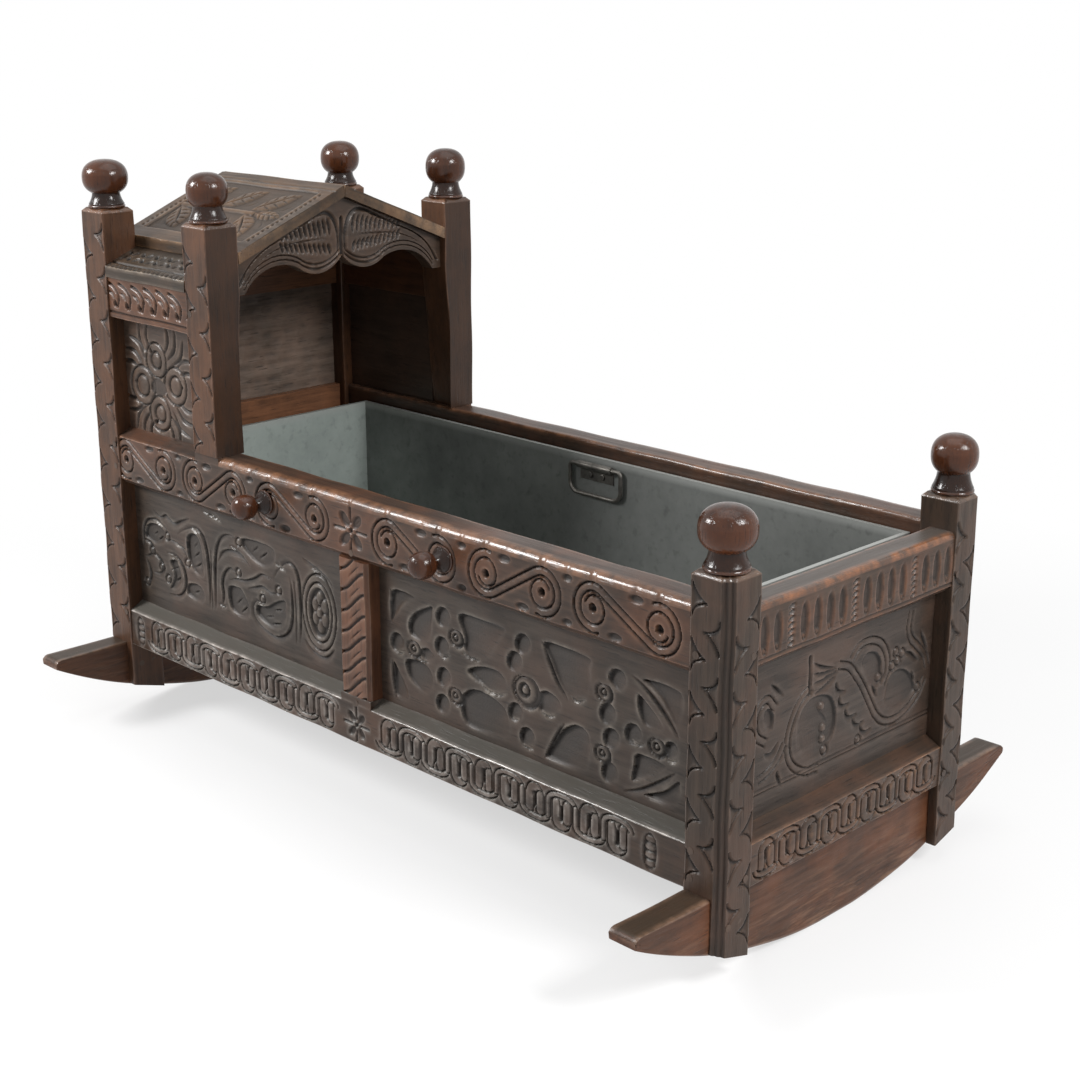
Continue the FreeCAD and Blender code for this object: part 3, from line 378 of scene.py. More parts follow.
def piece(name, stands_for, shells, material, slot):
    """An object of the frame in place of a CAD node: closed shells, each a stack of rings of points."""
    vertices, faces, hollows, worn_and_glints, grounds = [], [], [], [], []
    for rings, hollow, worn, ground in shells:
        count, around = rings.shape[:2]
        index = np.arange(count * around).reshape(count, around)
        after = np.roll(index, -1, axis=1)
        quads = np.stack([index[:-1], after[:-1], after[1:], index[1:]], -1).reshape(-1, 4)
        flat = rings.reshape(-1, 3)
        a, b, c, d = (flat[quads[:, k]] - flat.mean(0) for k in range(4))
        volume = (np.cross(a, b) * c).sum() + (np.cross(a, c) * d).sum()
        ends = [index[0, ::-1], index[-1]]
        if volume < 0.0:
            quads = quads[:, ::-1]
            ends = [end[::-1] for end in ends]
        first = sum(len(done) for done in vertices)
        faces += (quads + first).tolist() + [(end + first).tolist() for end in ends]
        vertices.append(flat)
        hollows.append(hollow.ravel())
        worn_and_glints.append(worn.ravel())
        grounds.append(ground.ravel())
    mesh = bpy.data.meshes.new(name)
    mesh.from_pydata(np.concatenate(vertices).tolist(), [], faces)
    for word, values in (("hollow", hollows), ("worn", worn_and_glints), ("ground", grounds)):
        layer = mesh.attributes.new(word, "FLOAT", "POINT")
        layer.data.foreach_set("value", np.concatenate(values).astype("f"))
    mesh.shade_smooth()
    mesh.set_sharp_from_angle(angle=math.radians(crease_angle))
    mesh.materials.append(material)
    made = bpy.data.objects.new(name, mesh)
    bpy.context.scene.collection.objects.link(made)
    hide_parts(stands_for)
    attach(made, "frame")


def carved(name, stands_for, face, corners, edge, place, material, slot="oak_carved"):
    """A piece that is one bar, carved on one of its faces."""
    piece(name, stands_for, [bar(face.u, corners, {edge: face}, place)], material, slot)


def new_material(name):
    material = bpy.data.materials.new(name)
    material.use_nodes = True
    return material


def node(material, kind, settings=None, **inputs):
    """A shader node with its settings and inputs given by name; an input may be another node's output."""
    made = material.node_tree.nodes.new(kind)
    for key, value in (settings or {}).items():
        setattr(made, key, value)
    for key, value in inputs.items():
        socket = made.inputs[key.replace("_", " ")]
        if isinstance(value, bpy.types.NodeSocket):
            material.node_tree.links.new(value, socket)
        else:
            socket.default_value = value
    return made


def maths(material, operation, *values, clamp=False):
    """What comes of adding, taking away or multiplying the outputs of other nodes."""
    made = node(material, "ShaderNodeMath", {"operation": operation, "use_clamp": clamp})
    for value, socket in zip(values, made.inputs):
        material.node_tree.links.new(value, socket)
    return made.outputs[0]


def blended(material, share, first, second):
    """The colour between two colours at a share taken from a node."""
    made = material.node_tree.nodes.new("ShaderNodeMix")
    made.data_type = "RGBA"
    for place, value in ((0, share), (6, first), (7, second)):
        if isinstance(value, bpy.types.NodeSocket):
            material.node_tree.links.new(value, made.inputs[place])
        else:
            made.inputs[place].default_value = (*value, 1.0)
    return made.outputs[2]


def ranged(material, value, given, wanted=(0.0, 1.0)):
    """A value stretched from one range to another."""
    return node(material, "ShaderNodeMapRange", Value=value, From_Min=given[0], From_Max=given[1],
                To_Min=wanted[0], To_Max=wanted[1]).outputs[0]


def noise(material, place, scale, detail, rough):
    return node(material, "ShaderNodeTexNoise", Vector=place, Scale=scale, Detail=detail,
                Roughness=rough).outputs[0]


def surfaced(material, **inputs):
    """Feeds the material's surface with colours and values made by other nodes."""
    shader = material.node_tree.nodes["Principled BSDF"]
    for key, value in inputs.items():
        material.node_tree.links.new(value, shader.inputs[key.replace("_", " ")])


deep_brown = (0.006, 0.004, 0.003)


def oak(name, body, warm, rubbed_and_glint, grain, gloss=0.4, upward_colour=None, deep=deep_brown):
    """Old waxed oak: streaks along the grain, near black in the cuts (partly grime, partly painted shade and
    shadow), greyer on cut ground, and rubbed bright and smooth where it is handled, in a colour the painted
    glints take too. grain is 0, 1 or 2 for the axis the grain runs along; the upward colour, where given,
    goes on faces that look up."""
    material = new_material(name)
    place = node(material, "ShaderNodeTexCoord").outputs["Object"]
    across_grain, along_grain = 150.0, 9.0
    stretch = [across_grain, across_grain, across_grain]
    stretch[grain] = along_grain
    fibres = node(material, "ShaderNodeMapping", Vector=place, Scale=stretch).outputs[0]
    streak = noise(material, fibres, scale=1.0, detail=6.0, rough=0.62)
    pores = noise(material, fibres, scale=4.5, detail=2.0, rough=0.5)
    mottle = noise(material, place, scale=13.0, detail=5.0, rough=0.62)
    rubbing = noise(material, place, scale=60.0, detail=5.0, rough=0.65)
    stipple = noise(material, place, scale=420.0, detail=2.0, rough=0.5)
    hollow, worn, ground = (node(material, "ShaderNodeAttribute", {"attribute_name": word}).outputs["Fac"]
                            for word in ("hollow", "worn", "ground"))

    ring_share = 0.55
    rings = tuple(ring_share * d + (1.0 - ring_share) * b for d, b in zip(deep, body))
    grey_share, own_share = 0.55, 0.35
    grey = tuple(grey_share * sum(body) / 3.0 + own_share * tone for tone in body)
    colour = blended(material, ranged(material, streak, (0.36, 0.64)), rings, body)
    colour = blended(material, ranged(material, mottle, (0.44, 0.7), (0.0, 0.9)), colour, warm)
    colour = blended(material, ranged(material, pores, (0.6, 0.72), (0.0, 0.6)), colour, deep)
    colour = blended(material, ranged(material, ground, (0.25, 0.95), (0.0, 0.75)), colour, grey)
    # faces that look up take the upward colour
    if upward_colour:
        normal = node(material, "ShaderNodeNewGeometry").outputs["True Normal"]
        upward = node(material, "ShaderNodeSeparateXYZ", Vector=normal).outputs["Z"]
        colour = blended(material, ranged(material, upward, (0.6, 0.82), (0.0, 0.85)), colour, upward_colour)
    # worn edges and the painted glints take the rubbed colour
    patchy = maths(material, "MULTIPLY", worn, ranged(material, rubbing, (0.38, 0.66), (0.12, 1.0)))
    colour = blended(material, patchy, colour, rubbed_and_glint)
    # darker in the cuts: partly grime, partly painted shade, with the painted shadows and darkening
    colour = blended(material, ranged(material, hollow, (0.15, 1.0), (0.0, 0.9)), colour, deep)

    shine = ranged(material, worn, (0.0, 1.0), (0.28, 0.6))
    grained = ranged(material, streak, (0.3, 0.7), (gloss + 0.07, gloss - 0.06))
    polished = maths(material, "SUBTRACT", grained, ranged(material, worn, (0.0, 1.0), (0.0, 0.17)))
    dulled = maths(material, "ADD", polished, ranged(material, ground, (0.0, 1.0), (0.0, 0.16)))

    ridges = maths(material, "SUBTRACT", streak, ranged(material, pores, (0.58, 0.75), (0.0, 0.5)))
    tooling = ranged(material, ground, (0.1, 0.8), (0.15, 0.9))
    tooled = maths(material, "MULTIPLY_ADD", stipple, tooling, ridges)
    bump = node(material, "ShaderNodeBump", Strength=0.4, Distance=0.0008, Height=tooled).outputs[0]
    surfaced(material, Base_Color=colour, Specular_IOR_Level=shine, Roughness=dulled, Normal=bump)
    return material


post_oak = oak("post_oak", (0.048, 0.031, 0.021), (0.072, 0.037, 0.023), (0.14, 0.082, 0.052), 2)
hood_post_oak = oak("hood_post_oak", (0.07, 0.032, 0.016), (0.1, 0.042, 0.019), (0.17, 0.08, 0.042), 2)

notch_pitch = 0.049
notch_reach = 0.016
notch_short = 0.0125
notch_long = 0.0175
notch_wall = 0.0016
notch_lean = (0.75, 0.65)
notch_past_edge = 0.002
notch_points = 12
long_rim_bulge = 0.45
rim_cut = 0.0024
rim_past_floor = 0.0008
chain_above = 0.009  # a chain begins this far above the rocker's top
cheek_chain_below = 0.053  # or, where it runs on down a cheek, this far below it
chain_end = 0.008  # and ends this far below the top of the post
foot_side_notch = 0.002
foot_end_notch = 0.0014
tall_post_notch = 0.0018
post_bevel = 0.004
post_wear = 0.2
corner_chamfer = 0.009
chamfer_flutes = (0.3, 0.7)  # places of the two flutes across the chamfer, as shares of it
chamfer_cell = 0.0008
flute_width = 0.0022
flute_depth = 0.0012
chamfer_darkening = 0.55
front_darkening = 0.7
front_cell = 0.004
cheek_cell = 0.004
cheek_slope = 0.3
hood_post_taper = 0.015
taper_edge = 0.005
rocker_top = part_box("rocker_foot")[1].z


def notch(face, z, edge, inward, above, below, depth):
    """A notch cut in from one edge of a face, between the round ends of two lobes; the shorter rim is the
    rounder one."""
    turn = np.linspace(0.0, math.pi / 2.0, notch_points)
    rims = []
    for sense, rise in ((1.0, above), (-1.0, below)):
        bulge = 1.0 if rise < notch_long else long_rim_bulge
        up = bulge * np.sin(turn) + (1.0 - bulge) * turn / turn[-1]
        out = bulge * np.cos(turn) + (1.0 - bulge) * (1.0 - turn / turn[-1])
        rim = np.stack([z + sense * rise * (1.0 - up), edge + inward * notch_reach * (1.0 - out)], 1)
        rims.append(np.vstack([rim[0] - (0.0, notch_past_edge * inward), rim]))
    lean = (notch_lean[0], notch_lean[1] * inward)
    # the sink paints shadow on the side of the notch towards its lean
    face.sink(np.vstack([rims[0], rims[1][-2::-1]]), depth, notch_wall, lean)
    for rim in rims:
        face.gouge(rim[1:], rim_cut, depth + rim_past_floor)


def notched_chain(face, low, high, depth):
    """Notches from both edges in turn, leaving lobes that overlap up the face like scales."""
    left, right = face.v[0], face.v[-1]
    count = int((high - low) / notch_pitch * 2.0)
    for step in range(count):
        z = low + (step + 0.5) * notch_pitch / 2.0
        if step % 2:
            notch(face, z, right, -1.0, notch_short, notch_long, depth)
        else:
            notch(face, z, left, 1.0, notch_long, notch_short, depth)


def post_place(side, low, high):
    """Stands a post up on one side of the cradle, with a small bevel round its top."""
    x_middle, y_middle = (low.x + high.x) / 2.0, -(low.y + high.y) / 2.0

    def place(along, across, up):
        bevel = np.clip(along - (high.z - post_bevel), 0.0, post_bevel)
        across = across - np.sign(across - x_middle) * np.minimum(bevel, abs(across - x_middle))
        up = up - np.sign(up - y_middle) * np.minimum(bevel, abs(up - y_middle))
        return across, side * up, along
    return place


def cheek_place(side, low, inner):
    """Stands the wood left beside a rocker, its foot cut on the slant to follow the rolling edge."""
    def place(along, across, up):
        foot = low + cheek_slope * (up - inner)
        return across, side * up, rocker_top - (rocker_top - along) * (rocker_top - foot) / (rocker_top - low)
    return place


def post_stations(low, top):
    return np.append(spaced(low, top - post_bevel), [top - post_bevel / 2.0, top])


def rubbed_top(shell):
    """The same post with the edge round its top rubbed bright."""
    worn = shell[2]
    worn[-3:-1] = 1.0
    return shell


def foot_post(hand, side):
    """A short post, its outer corner chamfered and fluted. Its two outer faces are notched, the one on the
    end of the cradle right down past the rocker."""
    low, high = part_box("foot_post_left")
    inner, outer = -high.y, -low.y
    chamfer_x, chamfer_y = high.x - corner_chamfer, outer - corner_chamfer
    stations = post_stations(rocker_top, high.z)
    cheek_stations = spaced(low.z, rocker_top)
    side_face = Face(stations, spaced(low.x + edge_round, chamfer_x - edge_round), post_wear)
    notched_chain(side_face, rocker_top + chain_above, high.z - chain_end, foot_side_notch)
    faces = []
    for rows in (stations, cheek_stations):
        end_face = Face(rows, spaced(inner + edge_round, chamfer_y - edge_round), post_wear)
        notched_chain(end_face, rocker_top - cheek_chain_below, high.z - chain_end, foot_end_notch)
        corner_face = Face(rows, spaced(chamfer_x + soft_edge, high.x - soft_edge, chamfer_cell))
        for share in chamfer_flutes:
            x = high.x - corner_chamfer * share
            corner_face.gouge([(low.z, x), (high.z, x)], flute_width, flute_depth)
        # the chamfer is darkened all over
        corner_face.shadow_and_darkening += chamfer_darkening
        faces.append({0: end_face, 1: corner_face})
    faces[0][2] = side_face
    corners = [(high.x, inner, edge_round, 0.7), (high.x, chamfer_y, worked_edge, 0.5),
               (chamfer_x, outer, worked_edge, 0.5)]
    back_corners = [(low.x, outer, edge_round, 0.7), (low.x, inner, edge_round, 0.5)]
    upper = bar(stations, corners + back_corners, faces[0], post_place(side, low, high))
    rocker_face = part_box("rocker_foot")[1].x
    rocker_corners = [(rocker_face, outer, crisp_edge, 0.3), (rocker_face, inner, crisp_edge, 0.3)]
    cheek = bar(cheek_stations, corners + rocker_corners, faces[1], cheek_place(side, low.z, inner))
    piece(f"foot_post_carved_{hand}", f"foot_post_{hand}", [rubbed_top(upper), cheek], post_oak, "oak_carved")


def tall_corners(low, high):
    inner, outer = -high.y, -low.y
    return [(high.x, inner, edge_round, 0.6), (high.x, outer, edge_round, 0.9),
            (low.x, outer, edge_round, 0.9), (low.x, inner, edge_round, 0.6)]


def head_post(hand, side):
    """A tall post behind the head, notched on its outer side."""
    low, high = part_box("head_post_left")
    inner, outer = -high.y, -low.y
    stations = post_stations(rocker_top, high.z)
    side_face = Face(stations, spaced(low.x + edge_round, high.x - edge_round), post_wear)
    notched_chain(side_face, rocker_top + chain_above, high.z - chain_end, tall_post_notch)
    upper = bar(stations, tall_corners(low, high), {1: side_face}, post_place(side, low, high))
    rocker_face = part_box("rocker_head")[1].x
    cheek_corners = [(high.x, inner, edge_round, 0.5), (high.x, outer, edge_round, 0.5),
                     (rocker_face, outer, crisp_edge, 0.3), (rocker_face, inner, crisp_edge, 0.3)]
    cheek = bar(spaced(low.z, rocker_top, cheek_cell), cheek_corners, {}, cheek_place(side, low.z, inner))
    piece(f"head_post_carved_{hand}", f"head_post_{hand}", [rubbed_top(upper), cheek], hood_post_oak,
          "oak_carved")


def hood_post(hand, side):
    """A post on the side rail, its front face darker and its inner face hewn thinner towards its foot."""
    low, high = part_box("hood_post_left")
    inner, outer = -high.y, -low.y
    rail_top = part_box("side_top_rail_left")[1].z
    tail_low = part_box("hood_gable")[0].z
    stations = post_stations(rail_top, high.z)
    side_face = Face(stations, spaced(low.x + edge_round, high.x - edge_round), post_wear)
    notched_chain(side_face, rail_top, high.z - chain_end, tall_post_notch)
    front_face = Face(stations, spaced(inner + edge_round, outer - edge_round, front_cell))
    # the front face is darkened all over
    front_face.shadow_and_darkening += front_darkening
    upright = post_place(side, low, high)

    def tapered(along, across, up):
        share = np.clip((tail_low - along) / (tail_low - rail_top), 0.0, 1.0)
        return upright(along, across, up + hood_post_taper * share * (up < inner + taper_edge))

    upper = bar(stations, tall_corners(low, high), {0: front_face, 1: side_face}, tapered)
    piece(f"hood_post_carved_{hand}", f"hood_post_{hand}", [rubbed_top(upper)], hood_post_oak, "oak_carved")


for hand, side in hands:
    foot_post(hand, side)
    head_post(hand, side)
    hood_post(hand, side)


# Side rails
# On each long side a top rail carved with running scrolls, its upper edge rounded and rubbed bright by hands,
# and a bottom rail carved with a chain of loops. Both are tenoned and pegged into the posts.

rail_oak = oak("rail_oak", (0.052, 0.031, 0.021), (0.092, 0.04, 0.022), (0.23, 0.11, 0.058), 0)
# bottom rail: grey dust and painted sheen on faces that look up, and near white where worn, partly a painted
# highlight on the ledge's front edge
low_rail_oak = oak("low_rail_oak", (0.044, 0.027, 0.018), (0.07, 0.034, 0.019), (0.44, 0.39, 0.35), 0,
                   upward_colour=(0.084, 0.078, 0.067))

nosing = 0.009
moulding = 0.006
scroll_radius = 0.0194
scroll_band = 0.0054
scroll_groove = 0.0027
scroll_depth = 0.0035
scroll_points = 70
crossing_points = 20
band_turns = 0.64
curl_turns = 0.62
curl_radius = 0.0102
eye_radius = 0.0047
eye_depth = 0.0062
rosette_leaf_place = np.array([0.55, 0.6])  # places and sizes in a rosette are shares of its reach
rosette_leaf = np.array([0.45, 0.27])
rosette_leaf_depth = 0.0028
rosette_vein = (0.0018, 0.0036)  # width and depth of a cut
rosette_rays = (0.35, 0.7, 1.05)
rosette_ray = (0.005, 0.003)
rosette_eye = np.array([0.16, 0.16])
rosette_eye_depth = 0.004


def s_scroll(face, left, right, rising):
    """A narrow band that passes round two volutes and crosses between them. Inside each volute the line
    beside the band curls on inwards about a drilled eye."""
    sense = 1.0 if rising else -1.0
    slant = math.atan2(right[1] - left[1], right[0] - left[0])
    lean = math.acos(2.0 * scroll_radius / math.dist(left, right))
    winding = np.linspace(0.0, 1.0, scroll_points)

    def winding_in(centre, start, radius, first, last):
        angle = start - sense * 2.0 * math.pi * (first + (last - first) * winding)
        return np.stack([centre[0] + radius * np.cos(angle), centre[1] + radius * np.sin(angle)], 1)

    ends = ((left, slant - sense * lean), (right, slant + math.pi - sense * lean))
    rims = [winding_in(centre, start, scroll_radius, 0.0, band_turns) for centre, start in ends]
    crossing = np.linspace(rims[0][0], rims[1][0], crossing_points)[1:-1]
    face.strap(np.vstack([rims[0][::-1], crossing, rims[1]]), scroll_band, scroll_groove, scroll_depth)
    line_radius = scroll_radius - (scroll_band + scroll_groove) / 2.0
    narrowing = line_radius + (curl_radius - line_radius) * winding
    for centre, start in ends:
        curl = winding_in(centre, start, narrowing, band_turns, band_turns + curl_turns)
        face.gouge(curl, scroll_groove, scroll_depth)
        face.hollow(centre, (eye_radius, eye_radius), eye_depth, wall=steep_wall)


def rosette(face, centre, reach):
    """Four leaves set crosswise about a small eye, with short cuts between them."""
    centre = np.asarray(centre)
    for tilt in (45.0, 135.0, 225.0, 315.0):
        way = reach * turned_to(tilt)
        middle = centre + rosette_leaf_place * way
        face.hollow(middle, rosette_leaf * reach, rosette_leaf_depth, tilt)
        face.gouge(flowing([centre, middle, centre + way]), *rosette_vein, tapered=True)
    for tilt in (0.0, 90.0, 180.0, 270.0):
        way = reach * turned_to(tilt)
        face.gouge([centre + share * way for share in rosette_rays], *rosette_ray, tapered=True)
    face.hollow(centre, rosette_eye * reach, rosette_eye_depth)


def face_between(start, end, bottom, top, clear, step=carving_step):
    """A face to carve between two ends and two edges, kept clear of the edges by a little."""
    return Face(spaced(start, end, step), spaced(bottom + clear, top - clear, step))


low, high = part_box("side_top_rail_left")
rail_inner, rail_outer = -high.y, -low.y
post_gap_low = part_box("head_post_left")[1].x
post_gap_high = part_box("foot_post_left")[0].x
hood_back, hood_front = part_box("hood_post_left")[0].x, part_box("hood_post_left")[1].x
scroll_middle = 0.317
scroll_pairs = [(-0.42, -0.345, False), (-0.283, -0.213, True), (-0.148, -0.072, False),
                (0.043, 0.118, False), (0.183, 0.257, True), (0.32, 0.398, False)]
rosette_x = -0.014
rosette_room = 0.03
rosette_reach = 0.024
nick = (0.01, 0.0045)
nick_depth = 0.0028
nick_aside = 0.012
upper_nick = high.z - 0.0135
lower_nick = low.z + 0.0105
gap_nick = (0.0075, 0.0042)
gap_nick_depth = 0.0026
gap_nick_heights = (high.z - 0.013, low.z + 0.01)
top_face = face_between(post_gap_low, post_gap_high, low.z + moulding, high.z - nosing, crisp_edge)
for left, right, rising in scroll_pairs:
    aside = -nick_aside if rising else nick_aside
    top_face.hollow(((left + right) / 2.0 + aside, upper_nick), nick, nick_depth)
    top_face.hollow(((left + right) / 2.0 - aside, lower_nick), nick, nick_depth)
    s_scroll(top_face, (left, scroll_middle), (right, scroll_middle), rising)
for (_, left, _), (right, _, _) in zip(scroll_pairs, scroll_pairs[1:]):
    if abs((left + right) / 2.0 - rosette_x) > rosette_room:
        for z in gap_nick_heights:
            top_face.hollow(((left + right) / 2.0, z), gap_nick, gap_nick_depth)
rosette(top_face, (rosette_x, scroll_middle), rosette_reach)

ledge_drop = 0.009
ledge_edge = 0.002
inner_edge = 0.004
square_edge = 0.0004
square_lean = 0.0003
panel_front = -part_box("side_panel_foot_left")[0].y


def nearest(places, wanted):
    return int(np.argmin(abs(places - wanted)))


def lengthwise(side):
    """Lays a bar along one side of the cradle."""
    def place(along, across, up):
        return along, side * across, up
    return place


def rail_head(kind, top):
    """Upper part of a side rail's section under a panel (ledge), under a post (square) or open (nosing)."""
    ledge = top - ledge_drop
    heads = {"ledge": [(rail_outer, ledge, ledge_edge, 1.0), (panel_front, top, crisp_edge, 0.2)],
             "square": [(rail_outer, ledge + crisp_edge, square_edge, 0.3),
                        (rail_outer - square_lean, top, crisp_edge, 0.3)],
             "nosing": [(rail_outer, top, nosing, 1.0)]}
    return heads[kind] + [(rail_inner, top, inner_edge, 0.8)]


def side_rail(name, face, breaks, kinds, foot, top, material):
    """A side rail and its mirror image, in stretches between its breaks that each have their own section."""
    stops = [0, *(nearest(face.u, x) for x in breaks), len(face.u) - 1]
    for hand, side in hands:
        shells = []
        for kind, first, last in zip(kinds, stops, stops[1:]):
            stretch = face.part(first, last)
            section = foot + rail_head(kind, top)
            shells.append(bar(stretch.u, section, {len(foot) - 1: stretch}, lengthwise(side)))
        piece(f"{name}_carved_{hand}", f"{name}_{hand}", shells, material, "oak_carved")


moulded_foot = [(rail_inner, low.z, soft_edge, 0.2), (rail_outer - moulding, low.z, worked_edge, 0.5),
                (rail_outer, low.z + moulding, worked_edge, 0.9)]
side_rail("side_top_rail", top_face, (hood_back, hood_front), ("ledge", "square", "nosing"), moulded_foot,
          high.z, rail_oak)

link_pitch = 0.035
link_band = 0.0084
link_groove = 0.0019
link_depth = 0.0034
leg_offset = 0.007
wave_band = 0.0042
wave_spring = 0.45  # share of the chain's half height at which the wave turns over
slot_half = 0.0027
slot_height = 0.56
slot_depth = 0.006
slot_wall = 0.0016
bead = (0.0068, 0.47)  # half width, and half height as a share of the bead's room
bead_trough = (0.0088, 0.62)
bead_depth = 0.0026


def link_chain(face, start, end, low, high, pitch):
    """A thin wave along the rail, with a hairpin nested in each of its bends round an upright slot."""
    slots = int((end - start) / pitch)
    first = start + (end - start - (slots - 1) * pitch) / 2.0
    middle = (low + high) / 2.0
    half = (high - low) / 2.0
    crest = half - wave_band / 2.0
    spring = wave_spring * half
    tip = crest - wave_band / 2.0 - link_groove - link_band / 2.0
    bend = half - leg_offset - link_band / 2.0
    links = [(first + number * pitch, 1.0 if number % 2 == 0 else -1.0) for number in range(slots)]
    wave = []
    for centre, sense in links:
        over = arc((centre, middle + sense * bend), leg_offset, 180.0 * sense, 0.0)
        feet = [(centre + side * leg_offset, middle - sense * tip) for side in (-1.0, 1.0)]
        face.strap(np.vstack([feet[:1], over, feet[1:]]), link_band, link_groove, link_depth)
        for foot in feet:
            end_cut = arc(foot, (link_band + link_groove) / 2.0, 0.0, -180.0 * sense)
            face.gouge(end_cut, link_groove, link_depth)
        wave.append(arc((centre, middle - sense * spring), pitch / 2.0, -180.0 * sense, 0.0,
                        (crest - spring) * 2.0 / pitch))
    face.strap(np.vstack(wave), wave_band, link_groove, link_depth)
    for centre, sense in links:
        face.hollow((centre, middle + sense * link_groove), (slot_half, half * slot_height), slot_depth,
                    wall=slot_wall)


def bead_column(face, x, low, high, count):
    """A ladder of small beads in a trough."""
    height = (high - low) / count
    face.hollow((x, (low + high) / 2.0), (bead_trough[0], (high - low) * bead_trough[1]), bead_depth)
    for step in range(count):
        face.swell((x, low + (step + 0.5) * height), (bead[0], height * bead[1]), -bead_depth, bead_depth)


low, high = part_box("side_bottom_rail_left")
muntin_low, muntin_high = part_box("side_muntin_left")
muntin_middle = (muntin_low.x + muntin_high.x) / 2.0
ledge_z = high.z - ledge_drop
chain_margin = 0.003
chain_back, chain_front = -0.404, 0.38
chain_gap = 0.024
chain_middle = 0.106
chain_rosette = 0.0185
bead_places = (-0.414, 0.392)
bead_low, bead_high, beads_each = 0.0905, 0.1225, 4
bottom_face = face_between(post_gap_low, post_gap_high, low.z + crisp_edge, ledge_z, soft_edge)
for start, end in ((chain_back, muntin_middle - chain_gap), (muntin_middle + chain_gap, chain_front)):
    link_chain(bottom_face, start, end, low.z + chain_margin, ledge_z - chain_margin, link_pitch)
rosette(bottom_face, (muntin_middle, chain_middle), chain_rosette)
for x in bead_places:
    bead_column(bottom_face, x, bead_low, bead_high, beads_each)
plain_foot = [(rail_inner, low.z, soft_edge, 0.2), (rail_outer, low.z, soft_edge, 0.6)]
side_rail("side_bottom_rail", bottom_face, (muntin_low.x, muntin_high.x), ("ledge", "square", "ledge"),
          plain_foot, high.z, low_rail_oak)


# Muntins
# The short upright between the two panels of each long side, stub-tenoned into both rails. Its face is cut
# with slanting bands like a twisted rope, and its edges are chamfered.

muntin_oak = oak("muntin_oak", (0.11, 0.048, 0.026), (0.156, 0.064, 0.032), (0.27, 0.15, 0.09), 2)
top_rail_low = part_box("side_top_rail_left")[0].z
bottom_rail_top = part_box("side_bottom_rail_left")[1].z
muntin_chamfer = 0.004
muntin_back, muntin_front = muntin_low.x + muntin_chamfer, muntin_high.x - muntin_chamfer
rope_pitch = 0.0225
rope_strands = range(-1, 8)
rope_points = 30
strand_rise = 0.02
strand_slope = 0.004
strand_cut = (0.0046, 0.003)
strand_line = (0.0026, 0.0016)
strand_line_above = 0.0095
strand_line_part = slice(10, 26)
strand_pit = (0.0022, 0.0046)
strand_pit_place = np.array([0.0165, 0.006])
strand_pit_depth = 0.0026
strand_pit_tilt = -28.0
rope_face = face_between(bottom_rail_top, top_rail_low, muntin_back, muntin_front, crisp_edge)
for step in rope_strands:
    z = bottom_rail_top + step * rope_pitch
    share = np.linspace(0.0, 1.0, rope_points)
    across = muntin_back + (muntin_front - muntin_back) * share
    sweep = z + strand_rise * (1.0 - np.cos(math.pi * share)) / 2.0 + strand_slope * share
    strand = np.stack([sweep, across], 1)
    rope_face.gouge(strand, *strand_cut)
    rope_face.gouge((strand + (strand_line_above, 0.0))[strand_line_part], *strand_line, tapered=True)
    pit = strand_pit_place + (z, muntin_middle)
    rope_face.hollow(pit, strand_pit, strand_pit_depth, strand_pit_tilt, steep_wall)
muntin_section = [
    (muntin_high.x, rail_inner, soft_edge, 0.2),
    (muntin_high.x, rail_outer - muntin_chamfer, crisp_edge, 0.6),
    (muntin_front, rail_outer, crisp_edge, 0.8), (muntin_back, rail_outer, crisp_edge, 0.8),
    (muntin_low.x, rail_outer - muntin_chamfer, crisp_edge, 0.6),
    (muntin_low.x, rail_inner, soft_edge, 0.2)]


def standing(side):
    """Stands a bar upright on one side of the cradle."""
    def place(along, across, up):
        return across, side * up, along
    return place


for hand, side in hands:
    carved(f"side_muntin_carved_{hand}", f"side_muntin_{hand}", rope_face, muntin_section, 2, standing(side),
           muntin_oak)


# Side panels
# Two boards of oak in each long side, set in grooves of the frame. The head one is carved with arched straps
# and curls, the foot one with ring-centred flowers and leaf shapes, both inside plain margins.

# pale where worn, a colour the painted glints take too
panel_oak = oak("panel_oak", (0.045, 0.033, 0.025), (0.064, 0.039, 0.028), (0.26, 0.22, 0.18), 0)
board = 0.01
groove_clear = 0.0002
light_lean = (-0.8, 0.6)  # directions towards which cuts stand steepest, and where their painted shadow or painted highlight lies
glint_lean = (0.2, -1.0)
shadow_lean = (0.95, -0.3)
stroke_width = 0.0075
stroke_depth = 0.0032
ground_depth = 0.004
# a glint is a cut painted with a highlight
glint_width = 0.008
glint_depth = 0.003
vein_points = 7
vein_cut = (0.0032, 0.005)
stem_line = (0.0024, 0.0024)
stem_lines = [
    [(-0.2865, 0.16), (-0.2865, 0.205), (-0.285, 0.236)],
    [(-0.133, 0.16), (-0.132, 0.205), (-0.1335, 0.236)],
]


def metres(lines):
    """Lines or places that are written in millimetres."""
    return [np.array(line) / 1000.0 for line in lines]


